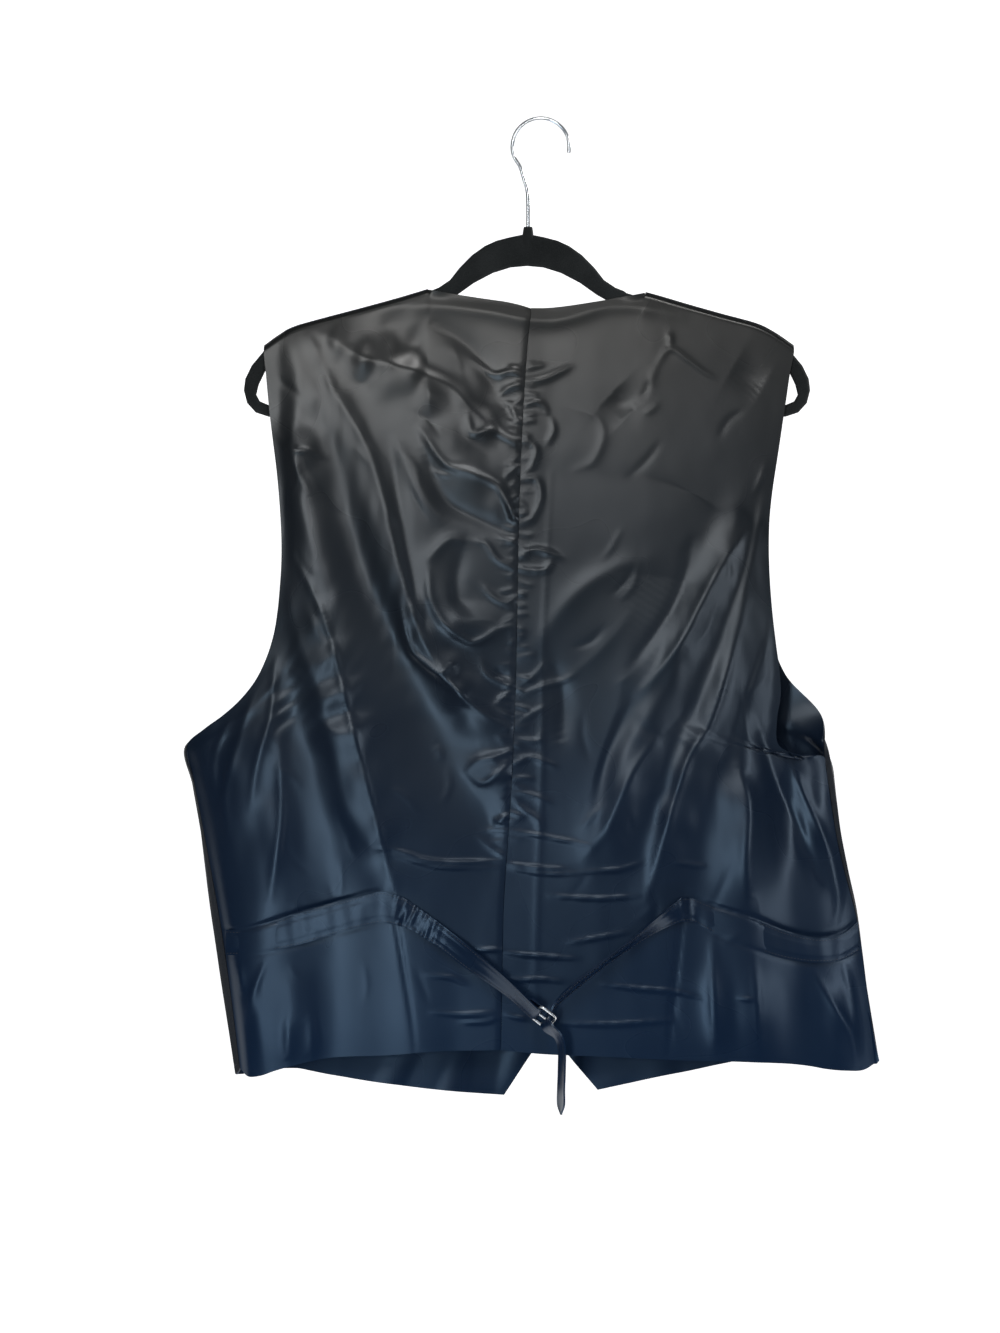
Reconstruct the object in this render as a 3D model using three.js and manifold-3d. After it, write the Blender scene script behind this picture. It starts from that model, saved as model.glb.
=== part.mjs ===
// A tailored suit waistcoat on a slim flat hanger, its satin back towards +Y.
// Millimetres, +Z up. The origin is the inside top of the hook, where a rail carries it all.
// The wearer's left is +X. Each cloth piece is a wall: an outer surface worked out from the
// sizes below, and an inner surface one wall thickness behind it.

import * as THREE from "three";
import Module from "manifold-3d";
import { mergeVertices } from "three/addons/utils/BufferGeometryUtils.js";

const wasm = await Module();
wasm.setup();

// Cloth thicknesses and gaps
const BACK_WALL = 1.6;
const FRONT_WALL = 1.2;
const LINING_WALL = 1.0;
const LAYER_GAP = 0.3;
const SEAM_HALF_GAP = 0.2;
const STRAP_WALL = 1.4;
const STRAP_LIFT = 0.5;

// Shoulder roll: the cloth bends round the hanger's arm on these radii
const ROLL_BACK = 4.8;
const ROLL_FRONT = 5.6;
const ROLL_STEPS = [0, 30, 60];

// How fast the cloth leaves the hanger: full depth is reached this far below the shoulder line
const DEPTH_RUN = 280;

// Share of the half-width that is flat before the side bends round to the other face
const FLAT_SHARE = 0.9;
const BEND_START = Math.sqrt(1 - FLAT_SHARE);
const SIDE_FOLD = FLAT_SHARE + 2 * BEND_START * BEND_START;

// Where the back's folds calm down: near the seams' share, and beyond the darts along the straps
const SEAM_SHARE = 0.97;
const STRAP_LINE = -635;
const STRAP_REACH = 0.35;

// Grid sizes of the panels
const BACK_NECK_COLUMNS = 8;
const BACK_SHOULDER_COLUMNS = 13;
const BACK_ARMHOLE_ROWS = 18;
const BACK_SIDE_ROWS = 13;
const FRONT_COLUMNS = 14;
const FRONT_ARMHOLE_ROWS = 10;
const FRONT_SIDE_ROWS = 8;
const NECK_STEP = 1.8;

// Front closure: the left front laps over the right one
const LAP_RISE = FRONT_WALL + LINING_WALL + LAYER_GAP + 0.4;
const LAP_FADE_START = 36;
const LAP_FADE_END = 85;
const BUTTON_COUNT = 5;
const BUTTON_TOP = -446;
const BUTTON_PITCH = 61;
const BUTTON_GAP = 0.5;

// How far below the neck the armhole rows of the back end, at its middle
const UNDERARM_Z = -495;

function table(columns, rows) {
  return rows.map((row) => Object.fromEntries(columns.map((name, k) => [name, row[k]])));
}

// Silhouette and depth of the hanging body at heights from the hem up
const FORM = table(["z", "left", "right", "depth"], [
  [-790, 238.5, -274, 20],
  [-745, 242, -271.5, 22],
  [-710, 246.8, -266.5, 24],
  [-664, 253.7, -259.2, 25.5],
  [-620, 259.6, -253.2, 26],
  [-575, 265.1, -245.5, 26],
  [-534, 271.3, -239.6, 25.5],
  [-490, 278.8, -231.5, 24.5],
  [-430, 276, -236, 23],
  [-350, 270, -246, 21.5],
  [-250, 266, -254, 20],
  [-130, 264, -256, 18],
]);

// Shoulder lines, from the neck point to the tip
const SHOULDER_LEFT = table(["x", "z"], [
  [88.8, -133.1],
  [112.2, -140.1],
  [143.2, -148.6],
  [172, -156.2],
  [194.4, -162.7],
  [205.3, -168.8],
  [217.4, -177.5],
]);
const SHOULDER_RIGHT = table(["x", "z"], [
  [-82.7, -135.5],
  [-90.9, -137.7],
  [-117.3, -145.5],
  [-142.2, -152.5],
  [-170.1, -160.2],
  [-184, -167.2],
  [-198.8, -177.3],
]);

// Centre-back seam and back neckline
const CENTRE_BACK = table(["z", "x"], [
  [-728.6, 31.4],
  [-650, 30],
  [-612, 29],
  [-530, 23.5],
  [-458, 20.3],
  [-377, 18.4],
  [-310, 17.1],
  [-232, 14.1],
  [-171, 10],
  [-147.7, 7.4],
]);
const NECK_LEFT = table(["x", "z"], [
  [7.4, -147.7],
  [23.8, -143.4],
  [44.9, -140.2],
  [65, -137.1],
  [88.8, -133.1],
]);
const NECK_RIGHT = table(["x", "z"], [
  [7.4, -147.7],
  [-4.6, -147.6],
  [-18.2, -146.3],
  [-50.8, -141.3],
  [-82.7, -135.5],
]);

// Armhole edges of the back, from the shoulder tip to the underarm point
const ARMHOLE_BACK_LEFT = table(["x", "z"], [
  [217.4, -177.5],
  [215.4, -203.1],
  [212.3, -234],
  [206.1, -285.2],
  [203.1, -334.2],
  [204, -362.2],
  [208, -398.3],
  [214.1, -420.3],
  [225.1, -442.4],
  [243.1, -462.4],
  [261.1, -475.5],
  [277.8, -490.6],
]);
const ARMHOLE_BACK_RIGHT = table(["x", "z"], [
  [-198.8, -177.3],
  [-192.6, -218.5],
  [-187.2, -254.1],
  [-179.7, -306],
  [-178.5, -338.2],
  [-180.4, -378.2],
  [-184.4, -414.4],
  [-187.7, -442.6],
  [-186.8, -460.7],
  [-184, -478],
  [-188.1, -493.4],
  [-207.1, -499.2],
  [-222.5, -500],
]);

// Side seams, from the underarm point to the hem notch
const SEAM_LEFT = table(["x", "z"], [
  [277.8, -490.6],
  [263.9, -561.3],
  [250.3, -635.9],
  [242.5, -690.9],
  [236.2, -744],
]);
const SEAM_RIGHT = table(["x", "z"], [
  [-222.5, -500],
  [-228, -538.5],
  [-234.3, -574.6],
  [-248.5, -630.4],
  [-257.1, -690.9],
  [-265, -738],
]);

// Back hem, from the centre-back seam to the side notch
const HEM_BACK_LEFT = table(["x", "z"], [
  [31.4, -728.6],
  [85, -729.8],
  [121.5, -732.9],
  [167.5, -735.5],
  [201.6, -743.1],
  [227, -750],
  [236.2, -744],
]);
const HEM_BACK_RIGHT = table(["x", "z"], [
  [31.4, -728.6],
  [0.5, -731.7],
  [-48.2, -733.8],
  [-108.6, -736.7],
  [-161.3, -738],
  [-201.7, -740.4],
  [-234.3, -745.3],
  [-258, -743.8],
  [-265, -738],
]);

// Armhole edges of the fronts. Where behind is 1 the edge has turned past the side fold.
const ARMHOLE_FRONT_LEFT = table(["x", "z", "behind"], [
  [217.4, -177.5, 0],
  [206, -215, 0],
  [198, -275, 0],
  [195, -335, 0],
  [199, -390, 0],
  [206, -420, 0],
  [219, -445, 0],
  [238, -463, 0],
  [258, -476, 0],
  [274, -486, 0],
  [277.8, -490.6, 1],
]);
const ARMHOLE_FRONT_RIGHT = table(["x", "z", "behind"], [
  [-198.8, -177.3, 0],
  [-190, -215, 0],
  [-181, -265, 0],
  [-176, -320, 0],
  [-177, -370, 0],
  [-182, -405, 0],
  [-189.5, -428.5, 0],
  [-199, -443.7, 0],
  [-210.8, -457.3, 0],
  [-221.5, -468.1, 0],
  [-229.5, -482, 0],
  [-229, -494, 1],
  [-222.5, -500, 1],
]);

// Front edges: the neckline V, the closure, then the cutaway to the point
const CLOSURE = table(["z", "x"], [
  [-790, -10],
  [-716, -9],
  [-560, -7],
  [-430, -4.5],
  [-300, -2],
]);
const VEE_LEFT = table(["x", "z"], [
  [88.8, -133.1],
  [80, -175],
  [66, -235],
  [46, -305],
  [20, -375],
  [-10, -425],
  [-19, -452],
  [-19.5, -480],
]);
const VEE_RIGHT = table(["x", "z"], [
  [-82.7, -135.5],
  [-76, -175],
  [-64, -235],
  [-46, -305],
  [-22, -375],
  [2, -425],
  [9, -452],
  [8.5, -480],
]);
const CUTAWAY_LEFT = table(["x", "z"], [
  [-19.5, -480],
  [-21, -560],
  [-23, -660],
  [-20, -697],
  [-8.9, -716],
  [6.5, -733],
  [29, -767],
]);
const CUTAWAY_RIGHT = table(["x", "z"], [
  [8.5, -480],
  [7, -560],
  [5, -660],
  [2, -697],
  [-8.9, -716],
  [-21.1, -735],
  [-45, -763],
]);

// Bottom edges of the fronts, from the point to the side notch
const HEM_FRONT_LEFT = table(["x", "z", "behind"], [
  [29, -767, 0],
  [72.3, -764, 0],
  [95.1, -761.3, 0],
  [129.4, -757, 0],
  [167.1, -750.6, 0],
  [202.1, -745, 0],
  [230, -748, 0],
  [238.8, -750.2, 0],
  [240.5, -749, 1],
  [236.2, -744, 1],
]);
const HEM_FRONT_RIGHT = table(["x", "z", "behind"], [
  [-45, -763, 0],
  [-68.3, -758, 0],
  [-93.7, -752.5, 0],
  [-117.3, -748, 0],
  [-143.1, -742.5, 0],
  [-170, -738, 0],
  [-200, -736.5, 0],
  [-235, -738, 0],
  [-262, -740.5, 0],
  [-269.5, -740.5, 1],
  [-265, -738, 1],
]);

// Folds of the back: a soft ridge (height above 0) or trough along from, bend and to
const BACK_FOLDS = table(["fromX", "fromZ", "bendX", "bendZ", "toX", "toZ", "width", "height"], [
  [176, -172, 102, -194, 24, -250, 10, 3],
  [112, -170, 70, -212, 22, -242, 9, -2],
  [194, -178, 150, -250, 124, -348, 10, 3],
  [124, -340, 108, -410, 52, -466, 10, 2.5],
  [90, -248, 62, -272, 24, -304, 9, 2],
  [88, -358, 76, -408, 22, -400, 9, 2.5],
  [76, -438, 58, -466, 28, -476, 9, 2],
  [58, -511, 42, -524, 24, -497, 9, 2],
  [192, -346, 160, -425, 118, -596, 9, 2.5],
  [200, -362, 174, -450, 138, -566, 12, 3],
  [207, -250, 192, -262, 166, -268, 9, 2],
  [243, -476, 254, -504, 254, -532, 9, -2.5],
  [226, -458, 240, -505, 246, -562, 9, 3],
  [208, -428, 212, -478, 227, -548, 9, 3],
  [202, -490, 206, -545, 209, -606, 10, 2.5],
  [-160, -326, -122, -390, -80, -448, 12, 3],
  [-158, -384, -130, -490, -88, -600, 12, 3],
  [-96, -480, -68, -530, -38, -576, 12, 2.5],
  [-153, -512, -163, -552, -160, -608, 14, 3.5],
  [-172, -476, -196, -540, -215, -594, 12, -3],
  [-196, -508, -216, -556, -230, -608, 10, 3],
  [-134, -652, -136, -690, -137, -724, 9, 2],
  [-165, -664, -169, -692, -171, -726, 9, 2],
  [-218, -676, -234, -706, -245, -732, 9, 2.5],
  [232, -668, 226, -700, 222, -734, 9, 2.5],
  [196, -664, 190, -700, 186, -730, 10, 1.5],
]);

// Folds of the fronts, seen from the wearer's front
const FRONT_FOLDS = table(["fromX", "fromZ", "bendX", "bendZ", "toX", "toZ", "width", "height"], [
  [168, -185, 138, -270, 96, -372, 13, 2.5],
  [190, -300, 172, -390, 160, -500, 12, 2.5],
  [206, -440, 214, -520, 218, -620, 12, 3],
  [120, -520, 132, -600, 138, -700, 14, 2.5],
  [232, -560, 226, -630, 220, -710, 11, 2],
  [-150, -186, -124, -272, -88, -372, 13, 2.5],
  [-172, -310, -160, -400, -152, -505, 12, 2.5],
  [-196, -470, -204, -550, -214, -640, 12, 3],
  [-108, -530, -122, -610, -128, -700, 14, 2.5],
  [-226, -570, -230, -640, -232, -706, 11, 2],
]);

// Sewn stretches of the back straps: edge heights at places across the back
const STRAP_LEFT_SEWN = table(["x", "upper", "lower"], [
  [246.5, -635, -655],
  [232, -635, -654.5],
  [212, -629.5, -651.5],
  [190, -622, -646.6],
  [166, -615.5, -639.5],
  [143, -608.8, -632.7],
  [124, -604.5, -629],
]);
const STRAP_RIGHT_SEWN = table(["x", "upper", "lower"], [
  [-249, -629, -652],
  [-236.9, -638, -658.5],
  [-222, -641.5, -660.5],
  [-204, -639.5, -659.5],
  [-186, -634.3, -656],
  [-164, -625, -648.5],
  [-140, -618, -639.5],
  [-120, -610.5, -629],
]);

// Free stretches: where the upper and lower edges run, y being the distance out
const STRAP_LEFT_FREE = table(["upX", "upY", "upZ", "lowX", "lowY", "lowZ"], [
  [108, 30, -609, 102, 30.5, -634],
  [90, 31.5, -621, 80, 31, -648],
  [70, 34, -636, 61, 31.5, -663],
  [50, 37, -652, 42.5, 32, -675],
  [28, 41, -671, 26, 32.5, -687],
  [6.8, 45.7, -691.6, 13.2, 32.9, -698.6],
]);
const STRAP_RIGHT_FREE = table(["upX", "upY", "upZ", "lowX", "lowY", "lowZ"], [
  [-110, 30.5, -609, -111, 31, -628],
  [-99, 33, -617, -102, 30.5, -631],
  [-83, 39, -629.5, -85.5, 30, -640],
  [-61, 43.5, -647, -64, 30, -654],
  [-39, 45.5, -664, -41.5, 31, -670.5],
  [-20, 46.5, -679.5, -22.5, 32, -686],
  [-8.4, 44.4, -701, -2, 31.6, -708],
  [-10, 48, -706, -3.6, 35, -711.5],
  [-16, 49, -712, -11, 34.5, -716],
  [-20, 47.5, -722, -15, 32.5, -723.5],
  [-20.6, 46, -740, -15.6, 31, -740],
  [-20, 45.5, -758, -15, 30.5, -758],
]);
const TAIL_TIP = table(["x", "y", "z", "halfX", "halfY"], [
  [-17.4, 38, -770, -2.5, 7.5],
  [-17.2, 38, -778, -0.3, 1],
]);

// Slide buckle: its place, its two directions and its sizes
const BUCKLE_CENTRE = new THREE.Vector3(-2.2, 38, -702.2);
const BUCKLE_ALONG = new THREE.Vector3(-11.8, 0, -9).normalize();
const BUCKLE_LEAN = new THREE.Vector3(-7.9, 16, 8.6);
const BUCKLE_LENGTH = 15;
const BUCKLE_WIDTH = 21;
const BUCKLE_WIRE = 0.9;

// Loop of the left strap round the buckle's first bar
const LOOP_RADIUS = 2.8;
const LOOP_HALF_WIDTH = 8;
const LOOP_STEPS = 6;
const LOOP_RETURN = 9.5;
const LOOP_CLOSING = 0.4;

// Hanger, measured from its own centre line
const HANGER_X = 10.8;
const HANGER_THICK = 5;
const HANGER_CHAMFER = 1.6;
const HANGER_TOP = table(["x", "z"], [
  [0, -89],
  [6.8, -90.4],
  [14.1, -91.9],
  [24, -94.5],
  [33, -98.6],
  [43.2, -105.8],
  [53.2, -116],
  [60.5, -125.4],
  [69.5, -131.4],
  [76, -133.9],
  [78.2, -135.6],
  [102, -142.6],
  [132.4, -151],
  [172.8, -162.3],
  [184, -165.4],
  [194.5, -171.8],
  [206.6, -181],
  [216.2, -192.5],
  [221.3, -203],
  [222.4, -212],
  [219.8, -222],
  [213.1, -229.4],
  [203, -232.7],
  [0, -232.7],
]);
const HANGER_HOLE = table(["x", "z"], [
  [0, -114.3],
  [13, -115.5],
  [26.7, -119.8],
  [41.6, -127.6],
  [54.2, -136.6],
  [64, -142.2],
  [78, -146.5],
  [132, -161],
  [176, -173.2],
  [194, -181.5],
  [203, -191.5],
  [210.7, -207.6],
  [212.6, -215.4],
  [209.8, -220.6],
  [203, -223.5],
  [0, -223.5],
]);
const NUB_PROFILE = table(["radius", "z"], [
  [0, -83.7],
  [3.4, -83.7],
  [4, -87],
  [4.5, -92],
  [3.9, -100],
  [2.8, -104.5],
  [0, -105],
]);

// Button: its section from the back to the dished face
const BUTTON_PROFILE = table(["radius", "height"], [
  [0, 0],
  [2, 0],
  [6.2, 0.4],
  [7.5, 1.2],
  [7.3, 2.4],
  [6.2, 2.8],
  [5.2, 2.2],
  [0, 2.2],
]);

// Hook: a wire bent from a stem into a round eye, open towards -X
const WIRE_RADIUS = 1.65;
const BORE_RADIUS = 1.95;
const BORE_END = -101;
const HOOK_RADIUS = 22.4;
const HOOK_STEM = table(["x", "z"], [
  [10, -100.4],
  [10, -86],
  [10, -66],
  [10.6, -55],
  [13.2, -46.5],
]);
const HOOK_START = 222;
const HOOK_END = -12;

// Smooth curve through a table's rows, as a function of its key column
function smooth(rows, key, value) {
  const sorted = [...rows].sort((a, b) => a[key] - b[key]);
  const slope = sorted.map((row, k) => {
    const before = sorted[Math.max(k - 1, 0)];
    const after = sorted[Math.min(k + 1, sorted.length - 1)];
    return (after[value] - before[value]) / (after[key] - before[key]);
  });
  return (at) => {
    const place = THREE.MathUtils.clamp(at, sorted[0][key], sorted.at(-1)[key]);
    let k = 0;
    while (k < sorted.length - 2 && place > sorted[k + 1][key]) k += 1;
    const span = sorted[k + 1][key] - sorted[k][key];
    const f = (place - sorted[k][key]) / span;
    const start = sorted[k][value] * (1 + 2 * f) * (1 - f) ** 2;
    const end = sorted[k + 1][value] * f * f * (3 - 2 * f);
    return start + end + span * f * (1 - f) * (slope[k] * (1 - f) - slope[k + 1] * f);
  };
}

const formLeft = smooth(FORM, "z", "left");
const formRight = smooth(FORM, "z", "right");
const formDepth = smooth(FORM, "z", "depth");
const centreBack = smooth(CENTRE_BACK, "z", "x");
const closure = smooth(CLOSURE, "z", "x");
const shoulderLeft = smooth(SHOULDER_LEFT, "x", "z");
const shoulderRight = smooth(SHOULDER_RIGHT, "x", "z");

const middle = (z) => (formLeft(z) + formRight(z)) / 2;
const halfWidth = (z) => (formLeft(z) - formRight(z)) / 2;

// Height of the shoulder line over a place; between the neck points it stays level
function shoulderLine(x) {
  return x > 0 ? shoulderLeft(x) : shoulderRight(x);
}

// Distance out from the middle plane at a share of the half-width
function depthAt(share, x, z, roll) {
  const below = Math.max(shoulderLine(x) - ROLL_BACK - z, 0);
  const open = Math.sin((Math.PI / 2) * Math.min(below / DEPTH_RUN, 1));
  const bow = Math.sqrt(Math.max(1 - share ** 4, 0));
  return roll * (1 - open) + formDepth(z) * bow * open;
}

// Sum of a table's folds at a place
function foldHeight(folds, x, z) {
  let height = 0;
  for (const fold of folds) {
    const steps = 8;
    let nearest = Infinity;
    let share = 0;
    for (let k = 0; k <= steps; k += 1) {
      const f = k / steps;
      const px = fold.fromX * (1 - f) ** 2 + 2 * fold.bendX * f * (1 - f) + fold.toX * f * f;
      const pz = fold.fromZ * (1 - f) ** 2 + 2 * fold.bendZ * f * (1 - f) + fold.toZ * f * f;
      const distance = (x - px) ** 2 + (z - pz) ** 2;
      if (distance < nearest) {
        nearest = distance;
        share = f;
      }
    }
    const taper = Math.sin(Math.PI * (0.12 + 0.76 * share));
    height += fold.height * taper * Math.exp(-nearest / (2 * fold.width ** 2));
  }
  return height;
}

// Folds fade out towards the side seam and under the sewn straps
function calm(share, z) {
  const atSeam = THREE.MathUtils.smoothstep(SEAM_SHARE - share, 0, 0.1);
  const atStrap = THREE.MathUtils.smoothstep(Math.abs(z - STRAP_LINE), 18, 40);
  return atSeam * (share > STRAP_REACH ? atStrap : 1);
}

// Outer surface of the back as a height over the x-z plane
function backHeight(x, z) {
  const share = Math.abs(x - middle(z)) / halfWidth(z);
  const folds = foldHeight(BACK_FOLDS, x, z);
  return depthAt(share, x, z, ROLL_BACK) + folds * calm(share, z);
}

function backPoint(x, z) {
  return new THREE.Vector3(x, backHeight(x, z), z);
}

function backNormal(x, z) {
  const slopeX = (backHeight(x + 1, z) - backHeight(x - 1, z)) / 2;
  const slopeZ = (backHeight(x, z + 1) - backHeight(x, z - 1)) / 2;
  return new THREE.Vector3(-slopeX, 1, -slopeZ).normalize();
}

// Unrolled place across a front: a share of the half-width that runs on past the side fold
function reachOf(side, row) {
  const share = (side * (row.x - middle(row.z))) / halfWidth(row.z);
  if (!row.behind && share <= FLAT_SHARE) return share;
  const bend = Math.sqrt(Math.max(1 - share, 0));
  return FLAT_SHARE + 2 * BEND_START * (BEND_START + (row.behind ? bend : -bend));
}

// Outer surface of a front at an unrolled place
function frontPoint(side, reach, z) {
  const bend = BEND_START - (reach - FLAT_SHARE) / (2 * BEND_START);
  const share = reach <= FLAT_SHARE ? reach : 1 - bend * bend;
  const x = middle(z) + side * halfWidth(z) * share;
  if (reach > SIDE_FOLD) return new THREE.Vector3(x, depthAt(share, x, z, ROLL_BACK), z);
  const beyond = Math.abs(x - closure(z));
  const faded = THREE.MathUtils.smoothstep(beyond, LAP_FADE_START, LAP_FADE_END);
  const lap = side > 0 ? LAP_RISE * (x < closure(z) ? 1 : 1 - faded) : 0;
  const atEdge = THREE.MathUtils.smoothstep(beyond, LAP_FADE_START, LAP_FADE_END);
  const atSide = THREE.MathUtils.smoothstep(SIDE_FOLD - reach, 0.15, 0.4);
  const folds = foldHeight(FRONT_FOLDS, x, z) * atEdge * atSide;
  return new THREE.Vector3(x, -depthAt(share, x, z, ROLL_FRONT) - lap - folds, z);
}

function frontNormal(side, reach, z) {
  const across = frontPoint(side, reach + 0.004, z).sub(frontPoint(side, reach - 0.004, z));
  const down = frontPoint(side, reach, z - 1).sub(frontPoint(side, reach, z + 1));
  return across.cross(down).multiplyScalar(-side).normalize();
}

// Evenly spaced points along a smooth curve through a table's rows
function walk(rows, across, steps) {
  const curve = new THREE.CatmullRomCurve3(
    rows.map((row) => new THREE.Vector3(across(row), row.z, 0)),
    false,
    "centripetal",
  );
  return curve.getSpacedPoints(steps).map((p) => ({ a: p.x, z: p.y }));
}

// Places inside four edges, blended so that each edge is met exactly
function patch(top, bottom, inner, outer) {
  const columns = top.length - 1;
  const rows = inner.length - 1;
  const blend = (key, s, t, i, j) =>
    (1 - s) * inner[j][key] + s * outer[j][key] + (1 - t) * top[i][key] + t * bottom[i][key]
    - (1 - s) * ((1 - t) * inner[0][key] + t * inner[rows][key])
    - s * ((1 - t) * outer[0][key] + t * outer[rows][key]);
  return inner.map((_, j) => top.map((__, i) => {
    const s = i / columns;
    const t = j / rows;
    return { a: blend("a", s, t, i, j), z: blend("z", s, t, i, j) };
  }));
}

// A closed wall from rows of outer points and their normals, between two depths
function wall(points, normals, near, far) {
  const rows = points.length;
  const columns = points[0].length;
  const positions = [];
  for (const depth of [near, far]) {
    points.forEach((row, j) => row.forEach((p, i) => {
      positions.push(...p.clone().addScaledVector(normals[j][i], -depth).toArray());
    }));
  }
  const at = (layer, j, i) => (layer * rows + j) * columns + i;
  const index = [];
  const quad = (a, b, c, d) => index.push(a, b, c, a, c, d);
  for (let j = 0; j < rows - 1; j += 1) {
    for (let i = 0; i < columns - 1; i += 1) {
      quad(at(0, j, i), at(0, j + 1, i), at(0, j + 1, i + 1), at(0, j, i + 1));
      quad(at(1, j, i), at(1, j, i + 1), at(1, j + 1, i + 1), at(1, j + 1, i));
    }
  }
  for (let i = 0; i < columns - 1; i += 1) {
    quad(at(0, 0, i), at(0, 0, i + 1), at(1, 0, i + 1), at(1, 0, i));
    quad(at(0, rows - 1, i), at(1, rows - 1, i), at(1, rows - 1, i + 1), at(0, rows - 1, i + 1));
  }
  for (let j = 0; j < rows - 1; j += 1) {
    quad(at(0, j, 0), at(1, j, 0), at(1, j + 1, 0), at(0, j + 1, 0));
    quad(at(0, j, columns - 1), at(0, j + 1, columns - 1), at(1, j + 1, columns - 1), at(1, j, columns - 1));
  }
  return facingOut(closedGeometry(positions, index));
}

function closedGeometry(positions, index) {
  const geometry = new THREE.BufferGeometry();
  geometry.setAttribute("position", new THREE.Float32BufferAttribute(positions, 3));
  geometry.setIndex(index);
  return geometry;
}

// Turns a closed mesh's faces outwards
function facingOut(geometry) {
  const p = geometry.getAttribute("position");
  const index = geometry.getIndex();
  const corner = (k) => new THREE.Vector3().fromBufferAttribute(p, index.getX(k));
  let volume = 0;
  for (let k = 0; k < index.count; k += 3) {
    volume += corner(k).dot(corner(k + 1).cross(corner(k + 2)));
  }
  if (volume < 0) {
    for (let k = 0; k < index.count; k += 3) {
      const second = index.getX(k + 1);
      index.setX(k + 1, index.getX(k + 2));
      index.setX(k + 2, second);
    }
  }
  return geometry;
}

// Adds the shoulder roll's rows above a panel's own rows
function rollRows(topPlaces, face, roll, firstRolled, line) {
  return ROLL_STEPS.map((degrees) => {
    const angle = THREE.MathUtils.degToRad(degrees);
    return topPlaces.map((place, i) => {
      const rise = roll * Math.cos(angle);
      const z = place.z + rise;
      if (i < firstRolled) {
        return { point: backPoint(place.a, z), normal: backNormal(place.a, z) };
      }
      const slope = (line(place.a + 0.5) - line(place.a - 0.5));
      const out = Math.max(roll * Math.sin(angle), SEAM_HALF_GAP);
      const normal = new THREE.Vector3(
        -slope * Math.cos(angle), face * Math.sin(angle), Math.cos(angle),
      ).normalize();
      return { point: new THREE.Vector3(place.a, face * out, z), normal };
    });
  });
}

const pick = (rows, key) => rows.map((row) => row.map((cell) => cell[key]));
const lowered = (places) => places.map((place) => ({ a: place.a, z: place.z - ROLL_BACK }));

// One satin half of the back
function backGrid(side, neck, shoulder, armhole, seam, hem) {
  const across = (row) => row.x;
  const neckPlaces = walk(neck, across, BACK_NECK_COLUMNS).slice(0, -1);
  const neckEnd = neck.at(-1);
  neckPlaces[BACK_NECK_COLUMNS - 1] = { a: neckEnd.x - side * NECK_STEP, z: neckEnd.z - 0.3 };
  const top = lowered([...neckPlaces, ...walk(shoulder, across, BACK_SHOULDER_COLUMNS)]);
  const bottom = walk(hem, across, top.length - 1);
  const hemZ = hem[0].z;
  const crown = neck[0].z - ROLL_BACK;
  const rows = BACK_ARMHOLE_ROWS + BACK_SIDE_ROWS;
  const inner = Array.from({ length: rows + 1 }, (_, j) => {
    const z = j <= BACK_ARMHOLE_ROWS
      ? THREE.MathUtils.lerp(crown, UNDERARM_Z, j / BACK_ARMHOLE_ROWS)
      : THREE.MathUtils.lerp(UNDERARM_Z, hemZ, (j - BACK_ARMHOLE_ROWS) / BACK_SIDE_ROWS);
    return { a: centreBack(z), z };
  });
  const outer = [
    ...walk(armhole, across, BACK_ARMHOLE_ROWS).slice(0, -1),
    ...walk(seam, across, BACK_SIDE_ROWS),
  ];
  outer[0] = { ...top.at(-1) };
  top[0] = { ...inner[0] };
  bottom[0] = { ...inner.at(-1) };
  for (let j = 0; j <= rows; j += 1) {
    inner[j].a += side * SEAM_HALF_GAP;
    if (j >= BACK_ARMHOLE_ROWS) outer[j].a -= side * SEAM_HALF_GAP;
  }
  top[0].a = inner[0].a;
  bottom[0].a = inner.at(-1).a;
  bottom[bottom.length - 1] = { ...outer.at(-1) };
  const places = patch(top, bottom, inner, outer);
  const body = places.map((row) => row.map(({ a, z }) => (
    { point: backPoint(a, z), normal: backNormal(a, z) }
  )));
  body[0].forEach((cell, i) => {
    if (i >= BACK_NECK_COLUMNS) cell.point.y = ROLL_BACK;
  });
  const grid = [...rollRows(top, 1, ROLL_BACK, BACK_NECK_COLUMNS, shoulderLine), ...body];
  return { points: pick(grid, "point"), normals: pick(grid, "normal") };
}

// One front, as a grid that the suit cloth and its lining share
function frontGrid(side, vee, cutaway, shoulder, armhole, seam, hem) {
  const across = (row) => reachOf(side, row);
  const acrossSeam = (row) => reachOf(side, { ...row, behind: 1 });
  const rolled = (row) => ({ x: row.x, z: row.z - ROLL_BACK });
  const top = walk(shoulder.map(rolled), across, FRONT_COLUMNS);
  const bottom = walk(hem, across, FRONT_COLUMNS);
  const inner = [
    ...walk(vee, across, FRONT_ARMHOLE_ROWS).slice(0, -1),
    ...walk(cutaway, across, FRONT_SIDE_ROWS),
  ];
  const outer = [
    ...walk(armhole, across, FRONT_ARMHOLE_ROWS).slice(0, -1),
    ...walk(seam, acrossSeam, FRONT_SIDE_ROWS),
  ];
  const gap = SEAM_HALF_GAP / halfWidth(-600) / BEND_START;
  for (let j = FRONT_ARMHOLE_ROWS; j < outer.length; j += 1) outer[j].a -= gap;
  inner[0] = { ...top[0] };
  outer[0] = { ...top.at(-1) };
  bottom[0] = { ...inner.at(-1) };
  bottom[FRONT_COLUMNS] = { ...outer.at(-1) };
  const body = patch(top, bottom, inner, outer).map((row) => row.map(({ a, z }) => (
    { point: frontPoint(side, a, z), normal: frontNormal(side, a, z) }
  )));
  const line = body[0].map((cell) => ({ a: cell.point.x, z: cell.point.z }));
  body[0].forEach((cell) => {
    cell.point.y = -ROLL_FRONT;
  });
  const grid = [...rollRows(line, -1, ROLL_FRONT, 0, shoulderLine), ...body];
  return { points: pick(grid, "point"), normals: pick(grid, "normal") };
}

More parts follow.
